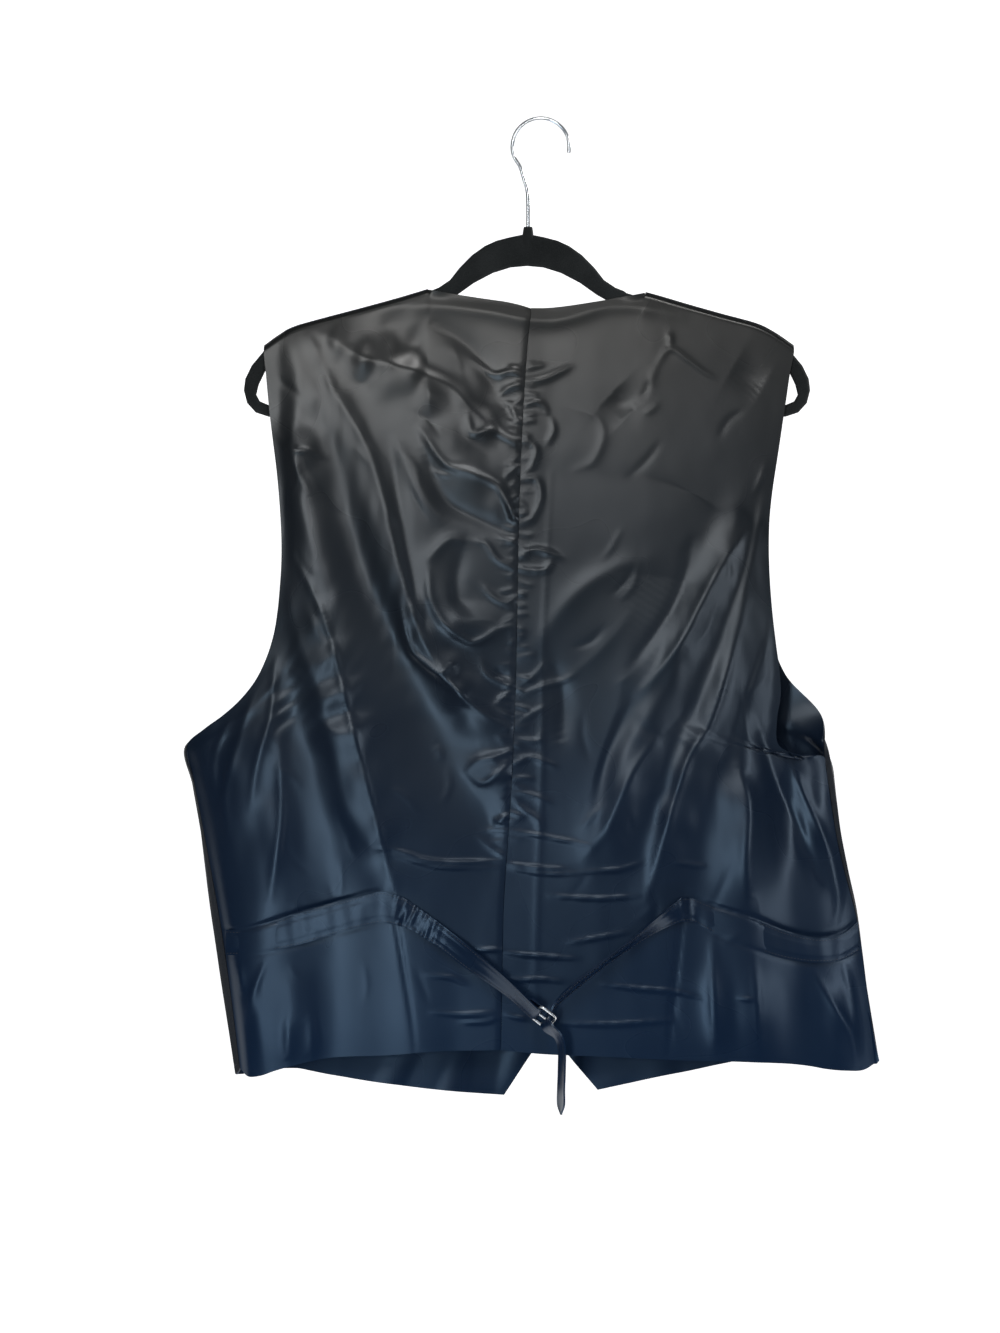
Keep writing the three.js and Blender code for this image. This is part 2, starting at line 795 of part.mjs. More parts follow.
// Height of a panel's faceted outer surface over a place
function facetHeight(points, x, z) {
  for (let j = 0; j < points.length - 1; j += 1) {
    for (let i = 0; i < points[0].length - 1; i += 1) {
      const a = points[j][i];
      const b = points[j + 1][i];
      const c = points[j + 1][i + 1];
      const d = points[j][i + 1];
      for (const [p, q, r] of [[a, b, c], [a, c, d]]) {
        const area = (q.x - p.x) * (r.z - p.z) - (r.x - p.x) * (q.z - p.z);
        const u = ((x - p.x) * (r.z - p.z) - (r.x - p.x) * (z - p.z)) / area;
        const v = ((q.x - p.x) * (z - p.z) - (x - p.x) * (q.z - p.z)) / area;
        if (u >= 0 && v >= 0 && u + v <= 1) return p.y + u * (q.y - p.y) + v * (r.y - p.y);
      }
    }
  }
  return -Infinity;
}

// Seat for a strap's point: the highest facet around it, so that no corner of the back cuts in
function seatHeight(points, x, z) {
  let seat = -Infinity;
  for (let across = -5; across <= 5; across += 2.5) {
    for (let up = -5; up <= 5; up += 2.5) {
      seat = Math.max(seat, facetHeight(points, x + across, z + up));
    }
  }
  return seat;
}

// Normals of a strap's grid from its own points, on the side that faces out
function stripNormals(points) {
  return points.map((row, j) => row.map(() => {
    const before = points[Math.max(j - 1, 0)];
    const after = points[Math.min(j + 1, points.length - 1)];
    const along = after[1].clone().sub(before[1]);
    const across = row[2].clone().sub(row[0]);
    return along.cross(across).normalize();
  }));
}

// Strap: sewn rows seated on the back, then rows between the two free edges
function strapRows(panel, sewn, steps) {
  const upper = smooth(sewn, "x", "upper");
  const lower = smooth(sewn, "x", "lower");
  const start = sewn[0].x;
  const end = sewn.at(-1).x;
  return Array.from({ length: steps + 1 }, (_, k) => {
    const x = THREE.MathUtils.lerp(start, end, k / steps);
    return [0, 0.5, 1].map((share) => {
      const z = THREE.MathUtils.lerp(upper(x), lower(x), share);
      return new THREE.Vector3(x, seatHeight(panel.points, x, z) + STRAP_LIFT + STRAP_WALL, z);
    });
  });
}

function freeRows(rows, steps) {
  const upper = new THREE.CatmullRomCurve3(rows.map((r) => new THREE.Vector3(r.upX, r.upY, r.upZ)));
  const lower = new THREE.CatmullRomCurve3(rows.map((r) => new THREE.Vector3(r.lowX, r.lowY, r.lowZ)));
  return Array.from({ length: steps + 1 }, (_, k) => {
    const a = upper.getPoint(k / steps);
    const b = lower.getPoint(k / steps);
    return [a, a.clone().lerp(b, 0.5), b];
  });
}

function strapGeometry(rows, facing) {
  const normals = stripNormals(rows).map((row) => row.map((n) => n.multiplyScalar(facing)));
  return wall(rows, normals, 0, STRAP_WALL);
}

function toSolid(geometry) {
  const bare = geometry.index ? geometry.toNonIndexed() : geometry;
  bare.deleteAttribute("normal");
  bare.deleteAttribute("uv");
  const merged = mergeVertices(bare, 1e-3);
  const corners = merged.getIndex().array;
  const faces = [];
  for (let k = 0; k < corners.length; k += 3) {
    const [a, b, c] = corners.slice(k, k + 3);
    if (a !== b && b !== c && c !== a) faces.push(a, b, c);
  }
  return new wasm.Manifold(new wasm.Mesh({
    numProp: 3,
    vertProperties: Float32Array.from(merged.getAttribute("position").array),
    triVerts: Uint32Array.from(faces),
  }));
}

function fromSolid(solid) {
  const mesh = solid.getMesh();
  return closedGeometry(Array.from(mesh.vertProperties), Array.from(mesh.triVerts));
}

// Hanger: a flat outline with one long opening, and a boss bored for the hook
function hangerGeometry() {
  const outline = (rows) => [
    ...rows.map((p) => new THREE.Vector2(p.x, p.z)),
    ...rows.slice(1, -1).reverse().map((p) => new THREE.Vector2(-p.x, p.z)),
  ];
  const shape = new THREE.Shape(outline(HANGER_TOP).reverse());
  shape.holes.push(new THREE.Path(outline(HANGER_HOLE)));
  const plate = new THREE.ExtrudeGeometry(shape, {
    depth: HANGER_THICK - 2 * HANGER_CHAMFER,
    bevelThickness: HANGER_CHAMFER,
    bevelSize: HANGER_CHAMFER,
    bevelOffset: -HANGER_CHAMFER,
    bevelSegments: 1,
    steps: 1,
  });
  plate.rotateX(Math.PI / 2);
  plate.translate(HANGER_X, HANGER_THICK / 2 - HANGER_CHAMFER, 0);
  const stemX = HOOK_STEM[0].x;
  const profile = NUB_PROFILE.map((p) => new THREE.Vector2(p.radius, p.z)).reverse();
  const nub = new THREE.LatheGeometry(profile, 20).rotateX(Math.PI / 2).translate(stemX, 0, 0);
  const bore = new THREE.CylinderGeometry(BORE_RADIUS, BORE_RADIUS, 30, 16);
  bore.rotateX(Math.PI / 2).translate(stemX, 0, BORE_END + 15);
  return fromSolid(toSolid(plate).add(toSolid(nub)).subtract(toSolid(bore)));
}

function hookGeometry() {
  const points = HOOK_STEM.map((p) => new THREE.Vector3(p.x, 0, p.z));
  const turns = 14;
  for (let k = 0; k <= turns; k += 1) {
    const angle = THREE.MathUtils.degToRad(THREE.MathUtils.lerp(HOOK_START, HOOK_END, k / turns));
    points.push(new THREE.Vector3(
      -HOOK_RADIUS * Math.cos(angle), 0, HOOK_RADIUS * Math.sin(angle) - HOOK_RADIUS + WIRE_RADIUS,
    ));
  }
  const section = new THREE.Shape().absarc(0, 0, WIRE_RADIUS, 0, 2 * Math.PI);
  return new THREE.ExtrudeGeometry(section, {
    steps: 44,
    curveSegments: 5,
    extrudePath: new THREE.CatmullRomCurve3(points, false, "centripetal"),
  });
}

// Directions of the buckle: along the straps, across them, and out of its flat
const buckleUp = BUCKLE_LEAN.clone()
  .addScaledVector(BUCKLE_ALONG, -BUCKLE_LEAN.dot(BUCKLE_ALONG)).normalize();
const buckleOut = BUCKLE_ALONG.clone().cross(buckleUp);

function buckleAt(along, across, out = 0) {
  return BUCKLE_CENTRE.clone().addScaledVector(BUCKLE_ALONG, along)
    .addScaledVector(buckleUp, across).addScaledVector(buckleOut, out);
}

// Buckle: two long sides joined by three bars
function buckleGeometry() {
  const bar = (from, to) => {
    const length = from.distanceTo(to) + 2 * BUCKLE_WIRE;
    const rod = new THREE.CylinderGeometry(BUCKLE_WIRE, BUCKLE_WIRE, length, 8);
    const turn = new THREE.Quaternion().setFromUnitVectors(
      new THREE.Vector3(0, 1, 0), to.clone().sub(from).normalize(),
    );
    const centre = from.clone().lerp(to, 0.5);
    return toSolid(rod.applyQuaternion(turn).translate(centre.x, centre.y, centre.z));
  };
  const half = BUCKLE_LENGTH / 2;
  const side = BUCKLE_WIDTH / 2;
  let solid = bar(buckleAt(-half, -side), buckleAt(half, -side))
    .add(bar(buckleAt(-half, side), buckleAt(half, side)));
  for (const along of [-half, 0, half]) {
    solid = solid.add(bar(buckleAt(along, -side), buckleAt(along, side)));
  }
  return fromSolid(solid);
}

// End of the left strap: round the first bar and a short way back behind itself
function loopRows() {
  const bar = -BUCKLE_LENGTH / 2;
  const row = (along, out) => [1, 0, -1].map((share) => (
    buckleAt(along, share * LOOP_HALF_WIDTH, out)
  ));
  const rows = Array.from({ length: LOOP_STEPS + 1 }, (_, k) => {
    const angle = Math.PI * (0.5 - k / LOOP_STEPS);
    return row(bar + LOOP_RADIUS * Math.cos(angle), LOOP_RADIUS * Math.sin(angle));
  });
  const back = [0.5, 1].map((share) => row(bar - share * LOOP_RETURN, LOOP_CLOSING * share - LOOP_RADIUS));
  return [...rows, ...back];
}

// Pointed end of the right strap's tail
function tipRows() {
  return TAIL_TIP.map((row) => [1, 0, -1].map((share) => (
    new THREE.Vector3(row.x + share * row.halfX, row.y + share * row.halfY, row.z)
  )));
}

function buttonGeometry() {
  return new THREE.LatheGeometry(BUTTON_PROFILE.map((p) => new THREE.Vector2(p.radius, p.height)), 16);
}

const group = new THREE.Group();

function addMesh(name, geometry, colour, roughness, metalness = 0) {
  const material = new THREE.MeshStandardMaterial({ color: colour, roughness, metalness });
  const mesh = new THREE.Mesh(geometry, material);
  mesh.name = name;
  group.add(mesh);
  return mesh;
}

const SATIN = 0x2b3340;
const SUITING = 0x33363c;

const backLeft = backGrid(
  1, NECK_LEFT, SHOULDER_LEFT, ARMHOLE_BACK_LEFT, SEAM_LEFT, HEM_BACK_LEFT,
);
const backRight = backGrid(
  -1, NECK_RIGHT, SHOULDER_RIGHT, ARMHOLE_BACK_RIGHT, SEAM_RIGHT, HEM_BACK_RIGHT,
);
addMesh("back_left", wall(backLeft.points, backLeft.normals, 0, BACK_WALL), SATIN, 0.4);
addMesh("back_right", wall(backRight.points, backRight.normals, 0, BACK_WALL), SATIN, 0.4);

const frontLeft = frontGrid(
  1, VEE_LEFT, CUTAWAY_LEFT, SHOULDER_LEFT, ARMHOLE_FRONT_LEFT, SEAM_LEFT, HEM_FRONT_LEFT,
);
const frontRight = frontGrid(
  -1, VEE_RIGHT, CUTAWAY_RIGHT, SHOULDER_RIGHT, ARMHOLE_FRONT_RIGHT, SEAM_RIGHT, HEM_FRONT_RIGHT,
);
const liningNear = FRONT_WALL + LAYER_GAP;
for (const [name, grid] of [["front_left", frontLeft], ["front_right", frontRight]]) {
  addMesh(name, wall(grid.points, grid.normals, 0, FRONT_WALL), SUITING, 0.85);
  const lining = wall(grid.points, grid.normals, liningNear, liningNear + LINING_WALL);
  addMesh(`${name}_lining`, lining, SATIN, 0.4);
}

const strapLeft = [
  ...strapRows(backLeft, STRAP_LEFT_SEWN, 12), ...freeRows(STRAP_LEFT_FREE, 9), ...loopRows(),
];
const strapRight = [
  ...strapRows(backRight, STRAP_RIGHT_SEWN, 12), ...freeRows(STRAP_RIGHT_FREE, 22), ...tipRows(),
];
addMesh("strap_left", strapGeometry(strapLeft, -1), SATIN, 0.4);
addMesh("strap_right", strapGeometry(strapRight, 1), SATIN, 0.4);
addMesh("buckle", buckleGeometry(), 0xc8c8c8, 0.25, 1);

for (let k = 0; k < BUTTON_COUNT; k += 1) {
  const z = BUTTON_TOP - k * BUTTON_PITCH;
  const x = closure(z);
  const reach = (x - middle(z)) / halfWidth(z);
  const seat = frontPoint(1, reach, z);
  const button = addMesh(`button_${k + 1}`, buttonGeometry(), 0x24262a, 0.35);
  button.rotation.x = Math.PI;
  button.position.set(seat.x, seat.y - BUTTON_GAP, seat.z);
}

addMesh("hanger", hangerGeometry(), 0x1c1e1f, 0.95);
addMesh("hanger_hook", hookGeometry(), 0xd4d4d4, 0.2, 1);

export default group;
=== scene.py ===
"""Looks of a suit waistcoat on a slim hanger, seen from its satin back. Metres, +Z up.

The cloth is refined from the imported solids. Places across the garment are in millimetres from
the inside top of the hook, +x being the wearer's left, and MM turns them into metres.
"""

import math
from collections import namedtuple

import bpy
import numpy as np
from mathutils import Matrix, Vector


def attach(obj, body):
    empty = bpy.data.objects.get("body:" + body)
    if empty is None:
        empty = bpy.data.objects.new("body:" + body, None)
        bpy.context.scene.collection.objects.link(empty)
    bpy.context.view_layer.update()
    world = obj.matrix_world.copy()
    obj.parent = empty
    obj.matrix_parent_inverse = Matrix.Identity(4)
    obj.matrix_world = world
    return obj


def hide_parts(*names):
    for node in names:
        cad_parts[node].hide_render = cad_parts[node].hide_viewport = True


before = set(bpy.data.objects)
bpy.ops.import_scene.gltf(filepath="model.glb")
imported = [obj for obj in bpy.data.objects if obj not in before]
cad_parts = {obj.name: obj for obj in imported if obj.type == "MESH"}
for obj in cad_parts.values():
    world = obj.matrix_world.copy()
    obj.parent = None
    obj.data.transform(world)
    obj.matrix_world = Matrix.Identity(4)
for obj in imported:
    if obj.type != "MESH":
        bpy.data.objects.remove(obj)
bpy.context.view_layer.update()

MM = 0.001
BODY = "root"
# A piece of cloth, with the points and normals of its outer face
Cloth = namedtuple("Cloth", "piece grid normals")

# Cloth thicknesses of the solids, in millimetres
BACK_WALL = 1.6
FRONT_WALL = 1.2
LINING_WALL = 1.0
LAYER_GAP = 0.3
STRAP_WALL = 1.4
ALLOWANCE_WALL = 0.4

# Spacing of the refined cloth's points, in millimetres
BACK_ROW_STEP = 1.55
BACK_COLUMN_STEP = 2.0
FRONT_ROW_STEP = 3.0
FRONT_COLUMN_STEP = 3.0
STRAP_STEP = 1.5

# The photograph: its scale at the back's plane, and where its middle falls
PHOTO_MM_PER_PIXEL = 0.7855
PHOTO_HEIGHT = 1333
PHOTO_CENTRE = (32.0, 0.0, -428.9)
LENS = 150
SENSOR = 36
# Straight out of the back, towards the photograph's camera
AWAY = np.array([0.0, 1.0, 0.0])

# Creases of the back. Each row is a half width, a height, and then x and z for each place along
# a smooth line. A height below 0 is a trough. They run on the broad folds that the solids have.
LEFT_CREASES = [
    (6.0, 0.8, 181, -162, 158, -177, 140, -187, 102, -196, 73, -208, 56, -225, 26, -250),
    (5.5, 1.4, 182, -170, 162, -212, 134, -262, 112, -344, 90, -414, 70, -440, 30, -478),
    (3.2, 1.5, 94, -243, 75, -270, 53, -278, 31, -290, 17, -321),
    (7.0, -1.4, 92, -255, 75, -298, 48, -314, 18, -326),
    (7.0, 1.2, 113, -253, 92, -296, 75, -318),
    (10.0, -1.7, 88, -157, 53, -181, 32, -216, 17, -243),
    (5.0, 0.9, 89, -347, 72, -330, 58, -331),
    (2.8, 1.2, 194, -342, 178, -372, 166, -402, 154, -450, 142, -498, 126, -559, 116, -603),
    (7.0, 0.9, 203, -350, 189, -410, 174, -450, 162, -498, 152, -539, 130, -575),
    (3.5, 1.3, 225, -450, 237, -488, 247, -528, 245, -559),
    (3.5, 1.3, 208, -424, 211, -468, 221, -502, 227, -539),
    (3.5, 1.3, 204, -486, 203, -549, 208, -588, 211, -610),
    (3.0, 1.0, 243, -468, 255, -498, 255, -528),
    (3.6, 1.3, 88, -354, 86, -375, 76, -395, 55, -410, 46, -408, 32, -400, 16, -398),
    (3.2, 1.5, 111, -375, 108, -396, 99, -419, 82, -434, 71, -443, 58, -456, 43, -467, 25, -476),
    (2.2, 0.7, 79, -437, 70, -428, 67, -436),
    (2.5, 0.9, 209, -246, 196, -259, 184, -260, 169, -265),
    (4.0, 1.0, 196, -240, 195, -265, 180, -297),
    (3.0, 1.1, 235, -662, 231, -686),
    (3.0, 1.1, 215, -660, 224, -684, 228, -704),
    (5.0, 1.0, 197, -704, 197, -738),
    (5.0, 0.8, 179, -700, 179, -736),
    (7.0, -1.0, 60, -330, 66, -370, 52, -392),
    (6.0, -1.0, 120, -250, 108, -320, 96, -380),
]
RIGHT_CREASES = [
    (2.2, 0.6, -101, -166, -102, -178),
    (2.2, 0.6, -90, -194, -101, -180, -116, -189, -128, -198, -136, -202),
    (14.0, -1.0, -55, -216, -70, -230),
    (14.0, -0.9, -150, -196, -174, -210),
    (4.5, 1.5, -160, -324, -140, -352, -124, -382, -112, -406, -88, -438, -76, -450),
    (4.5, 1.7, -160, -378, -144, -438, -132, -474, -116, -500, -98, -556, -82, -612),
    (5.0, 1.3, -96, -478, -72, -512, -52, -554, -34, -578),
    (40.0, 3.2, -100, -360, -88, -440, -72, -520, -50, -590),
    (6.0, 1.9, -154, -508, -162, -538, -160, -578, -162, -612),
    (6.0, -1.6, -168, -468, -184, -518, -204, -558, -218, -598),
    (4.0, 1.5, -194, -500, -208, -534, -226, -573, -233, -612),
    (3.0, 1.0, -228, -561, -234, -605, -231, -633),
    (3.5, 1.0, -134, -640, -135, -690, -136, -730),
    (3.5, 1.0, -166, -654, -169, -690, -171, -730),
    (4.0, 1.4, -215, -670, -229, -694, -243, -716, -248, -739),
    (2.5, 0.9, -238, -662, -244, -690, -247, -720),
    (5.0, -1.0, -120, -330, -104, -380, -70, -430),
    (10.0, 1.0, 14, -430, -5, -400, -30, -370, -62, -350, -80, -346),
    (8.0, -1.4, -10, -425, -17, -455, -16, -490),
]
# Broad slopes between the folds: lines of crests and hollows from one side of each half to the
# other. Each row is x, z and height for each place along its line.
LEFT_FORM = [
    (290, -150, 0, 290, -760, 0),
    (250, -150, 0, 250, -440, 0, 236, -520, 1.2, 224, -600, 3.8, 222, -760, 4.4),
    (206, -150, 0, 206, -300, 0, 203, -350, 0, 200, -400, 0, 196, -450, 0, 182, -500, 0, 170, -550, -0.6,
     160, -620, -2.4, 158, -760, -2.8),
    (198, -165, 0, 192, -220, 1.4, 186, -300, 4.2, 173, -350, 4.6, 157, -400, 4.4, 149, -450, 4.2, 144,
     -500, 4.2, 129, -550, 3.6, 110, -620, 1.8, 102, -680, 1.4, 100, -760, 1.4),
    (186, -175, 0, 170, -220, -0.6, 150, -300, -1.2, 138, -350, -1.5, 117, -400, -1.8, 93, -450, -1.8, 72,
     -500, -1.8, 42, -550, -1.2, 40, -600, 0, 60, -680, 0, 60, -760, 0),
    (170, -175, 0, 148, -220, 1.0, 124, -300, 1.9, 112, -350, 1.9, 93, -400, 1.9, 62, -450, 1.6, 40, -490,
     1.0, 30, -530, 0.4, 22, -580, 0, 22, -760, 0),
    (8, -150, 0, 8, -760, 0),
    (-10, -150, 0, -10, -760, 0),
]
RIGHT_FORM = [
    (30, -150, 0, 30, -760, 0),
    (-30, -150, 0, -60, -350, 0, -60, -450, 0.3, -35, -540, 0.3, -30, -600, 0, -30, -760, 0),
    (-140, -280, 0, -118, -350, -0.5, -97, -400, -0.7, -75, -450, -0.7, -50, -500, -0.5, -45, -545, 0,
     -45, -760, 0),
    (-160, -280, 0, -140, -350, 0.8, -118, -400, 1.0, -97, -450, 1.2, -66, -500, 1.0, -56, -545, 0.6, -56,
     -600, 0, -56, -760, 0),
    (-172, -280, 0, -158, -350, -0.8, -141, -400, -1.0, -124, -450, -1.0, -98, -500, -1.0, -84, -550,
     -1.0, -76, -620, 0, -76, -760, 0),
    (-176, -300, 0, -165, -350, 0.3, -152, -400, 0.6, -138, -450, 0.9, -117, -500, 1.0, -102, -550, 1.0,
     -98, -620, 0.4, -98, -760, 0),
    (-180, -300, 0, -175, -400, 0.2, -158, -450, 0.8, -140, -500, 0.8, -125, -550, 0.6, -118, -620, 0.2,
     -118, -760, 0),
    (-185, -300, 0, -180, -400, 0.6, -165, -450, 1.6, -160, -500, 2.6, -160, -550, 3.0, -158, -600, 3.0,
     -162, -680, 1.8, -166, -760, 1.2),
    (-190, -300, 0, -186, -400, -0.4, -190, -450, -1.0, -196, -500, -2.2, -198, -550, -2.6, -198, -600,
     -2.6, -206, -680, -2.0, -210, -760, -1.2),
    (-240, -300, 0, -240, -450, 0, -226, -520, -1.0, -224, -600, -1.4, -236, -680, -1.0, -240, -760,
     -0.6),
    (-290, -300, 0, -290, -760, 0),
]
# The facing's edge, pressed through below the neckline
NECK_FACING = (7.0, 1.0, 126, -147, 84, -146, 41, -151, 9, -157, -15, -157, -59, -146, -109, -153)
# Loops that the centre-back seam pulls, on its left and on its right
LEFT_LOOPS = [
    (2.6, 1.0, 53, -188, 36, -200, 24, -198, 8, -203),
    (2.4, 0.9, 33, -217, 24, -210, 10, -208),
    (2.4, 0.9, 31, -220, 24, -224, 19, -234, 8, -240),
    (2.8, 1.2, 58, -231, 53, -246, 38, -244, 24, -251, 8, -252),
    (2.4, 0.9, 28, -282, 24, -277, 10, -269),
    (2.6, 1.2, 34, -289, 26, -302, 19, -314, 10, -318),
    (2.4, 0.9, 34, -328, 24, -330, 10, -337),
    (2.6, 1.1, 51, -331, 43, -333, 34, -345, 21, -352, 10, -354),
    (2.6, 1.1, 46, -365, 38, -374, 29, -379, 22, -377, 12, -368),
    (2.4, 0.9, 110, -383, 103, -414, 92, -425, 80, -434, 73, -428),
    (2.4, 1.0, 47, -423, 43, -434, 32, -441, 22, -444, 10, -444),
    (3.6, -0.9, 37, -431, 32, -435, 25, -436),
    (2.2, 0.8, 35, -459, 26, -450, 12, -448),
    (2.2, 0.8, 34, -461, 26, -467, 12, -471),
    (2.8, 1.1, 58, -511, 50, -503, 38, -500, 26, -496, 12, -493),
    (2.6, 1.0, 58, -511, 46, -520, 35, -514, 23, -505, 12, -503),
    (2.2, 0.8, 32, -516, 26, -513, 12, -517),
    (2.2, 0.8, 38, -556, 29, -547, 14, -543),
    (2.0, 0.6, 44, -557, 28, -557, 12, -560),
    (2.0, 0.6, 49, -562, 29, -577, 14, -580),
]
RIGHT_LOOPS = [
    (2.6, 1.0, 16, -205, -1, -204, -15, -198, -24, -193),
    (2.2, 0.8, 14, -225, 4, -221, -3, -226, -5, -233),
    (2.2, 0.8, -8, -234, -10, -244, -5, -255),
    (2.4, 0.9, 16, -250, 4, -258, 7, -272, 14, -278),
    (2.4, 1.0, 18, -284, 4, -282, 0, -296, 7, -313, 16, -318),
    (2.6, 1.0, 18, -345, 7, -338, -7, -340, -16, -344),
    (2.4, 0.8, 16, -351, 5, -354, -5, -352, -10, -342),
    (3.5, 0.35, -27, -226, -44, -234, -49, -248, -41, -268, -27, -275),
    (2.4, 0.8, 20, -444, 11, -440, 4, -435, -4, -425),
    (2.6, 0.9, 18, -453, 5, -447, -4, -444, -15, -441, -26, -436),
    (6.0, 0.3, -4, -444, -20, -438, -47, -416, -72, -385),
    (2.2, 0.8, 19, -474, 5, -465, -4, -460),
    (2.2, 0.9, 20, -486, 2, -487, 0, -480),
    (2.2, 0.9, 20, -504, 8, -500, -2, -503, -12, -508),
    (2.0, 0.7, 22, -517, 14, -516, 6, -517),
    (2.2, 0.8, 22, -528, 13, -528, 1, -532, -8, -536),
    (2.4, 0.9, 21, -533, 13, -541, 2, -550, 1, -560),
]
# Sharp creases left by the packing, mostly level, and how strongly they show
PACKING_DEPTH = 2.4
PACKING_CREASES = [
    (1.7, 0.55, 126, -571, 114, -572, 83, -581, 29, -581),
    (1.7, 0.45, 123, -575, 111, -577, 82, -585, 32, -586),
    (1.6, 0.5, 26, -583, 1, -586, -21, -587),
    (1.6, 0.45, 26, -586, 3, -590, -12, -591, -31, -590),
    (1.7, 0.5, -32, -589, -62, -587, -78, -582),
    (1.6, 0.4, 25, -557, 1, -561, -40, -569),
    (1.6, 0.5, -6, -608, -46, -610, -76, -608),
    (1.7, 0.4, -20, -645, -69, -636),
    (1.6, 0.5, 51, -650, 30, -650),
    (1.6, 0.5, 29, -652, 13, -654, -29, -657),
    (1.6, 0.45, 26, -674, 1, -673, -19, -675),
    (1.6, 0.5, 63, -700, 34, -699),
    (1.6, 0.45, 63, -707, 41, -706, 34, -703),
    (1.6, 0.4, 28, -701, 8, -705),
    (1.7, 0.5, -17, -708, -58, -708, -102, -705),
    (1.7, 0.5, -48, -677, -73, -680, -106, -683, -126, -688),
    (1.6, 0.4, -153, -688, -167, -689),
    (1.6, 0.4, -104, -582, -128, -585),
    (1.7, 0.5, 89, -670, 70, -672, 58, -677),
    (1.7, 0.45, 85, -699, 34, -703),
]
# The straps are sewn down from the side seam to this far from the middle
SEWN_FROM = 116
# Below this the right strap is its hanging tail
TAIL_TOP = -706
# Heights on the straps: their crown, the groove beside each edge, the puckers where they are sewn,
# the wrinkles where they are free, and how far the right one rolls out at its upper edge and less below
STRAP_CROWN = 0.45
STRAP_GROOVE = 0.25
STRAP_PUCKER = 0.35
STRAP_WRINKLE = 1.6
STRAP_ROLL = 3.0
STRAP_ROLL_DROP = 2.6
# The dips beside a sewn strap: on its upper side or not, how far off it, half width and depth
STRAP_DIPS = ((True, 0.7, 1.7, 1.6), (False, 0.8, 1.6, 0.5))
# Half widths and heights of the darts' grooves and of the allowance's ridge
DART_GROOVE = (1.8, 0.7)
ALLOWANCE_RISE = (2.4, 0.35)
SEAM_GROOVE_DEPTH = 0.4
SEAM_GROOVE_WIDTH = 2.0
# Heights of the uneven waves in the back, and of the fronts' creases and waves
BROAD_WAVE = 0.14
FINE_WAVE = 0.04
FRONT_RELIEF = 1.9
FRONT_WAVE = 0.5
# Depth of the folds in the fronts' lining
LINING_FOLD = 2.0
# Stitches: pitch, length and radius
FRONT_STITCH = (4.6, 2.4, 0.3)
STRAP_STITCH = (2.6, 1.7, 0.2)
FRONT_INSET = 5.0
STRAP_INSET = 1.6
BUCKLE_WIRE = 1.0
# A button's holes: places and radius are shares of its radius, depth of half its thickness
HOLE_PLACES = (-0.2, 0.2)
HOLE_RADIUS = 0.115
HOLE_DEPTH = 1.1
THREAD_RADIUS = 0.45
# Waist darts of the back, from the strap's end down to the hem
DARTS = [
    (119, -590, 116, -612, 107, -665, 101, -703, 98, -730),
    (-112, -600, -110, -628, -106, -665, -102, -703, -100, -734),
]
# Creases of the fronts, which the photograph hides
FRONT_CREASES = [
    (5.0, 1.2, 166, -190, 142, -262, 112, -330, 96, -372),
    (5.0, 1.0, 190, -306, 174, -390, 160, -498),
    (4.0, 1.2, 206, -446, 213, -520, 217, -612),
    (5.5, 0.9, 122, -530, 131, -610, 137, -694),
    (3.0, 0.6, 40, -470, 74, -486, 104, -480),
    (3.0, 0.5, 44, -592, 80, -604, 122, -596),
    (5.0, 1.2, -148, -190, -122, -270, -90, -368),
    (5.0, 1.0, -172, -316, -160, -400, -152, -500),
    (4.0, 1.2, -197, -476, -205, -550, -213, -634),
    (5.5, 0.9, -110, -536, -121, -612, -128, -694),
    (3.0, 0.6, -52, -520, -86, -534, -118, -524),
    (3.0, 0.5, -60, -650, -96, -660, -134, -652),
]

# Small puckers between the loops of the centre-back seam
PUCKER_TOP = -190
PUCKER_BOTTOM = -566
PUCKER_PITCH = 9
PUCKER_WIDTH = 1.8
PUCKER_HEIGHT = 0.6
SMALL_WRINKLES = 42
# The seam's allowance, pressed through on the right of the seam
ALLOWANCE_RIDGE = (
    -8, -277, -5, -338, -2, -399, -1, -480, 0, -526, 1, -560, 3, -612, 5, -691, 6, -726,
)


# Points of a CAD node, its corners joined, and its triangles
def welded(node):
    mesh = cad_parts[node].data
    mesh.calc_loop_triangles()
    points = np.zeros(len(mesh.vertices) * 3, np.float32)
    mesh.vertices.foreach_get("co", points)
    corners = np.zeros(len(mesh.loop_triangles) * 3, np.int32)
    mesh.loop_triangles.foreach_get("vertices", corners)
    joined, index = np.unique(
        np.round(points.reshape(-1, 3).astype(float) / MM, 3), axis=0, return_inverse=True
    )
    triangles = index.ravel()[corners].reshape(-1, 3)
    return joined, triangles


def neighbours(triangles):
    near = {}
    for a, b, c in triangles.tolist():
        for p, q in ((a, b), (b, c), (c, a)):
            near.setdefault(p, set()).add(q)
            near.setdefault(q, set()).add(p)
    return near


# Triangles of a wall's outer face: its rim, which has edges as long as the wall is thick, is
# left out, and of the two faces that remain the larger one is the outer
def outer_face(points, triangles, wall):
    sides = [np.linalg.norm(points[triangles[:, i]] - points[triangles[:, i - 1]], axis=1) for i in range(3)]
    rim = np.min([np.abs(side - wall) for side in sides], axis=0) < 0.03
    faces = triangles[~rim]
    near = neighbours(faces)
    left = set(near)
    best = None
    while left:
        reached = {left.pop()}
        edge = list(reached)
        while edge:
            step = near[edge.pop()] - reached
            reached |= step
            edge += step
        left -= reached
        size = np.ptp(points[list(reached)], axis=0).sum()
        if best is None or size > best[0]:
            best = (size, reached)
    return faces[np.isin(faces[:, 0], list(best[1]))]


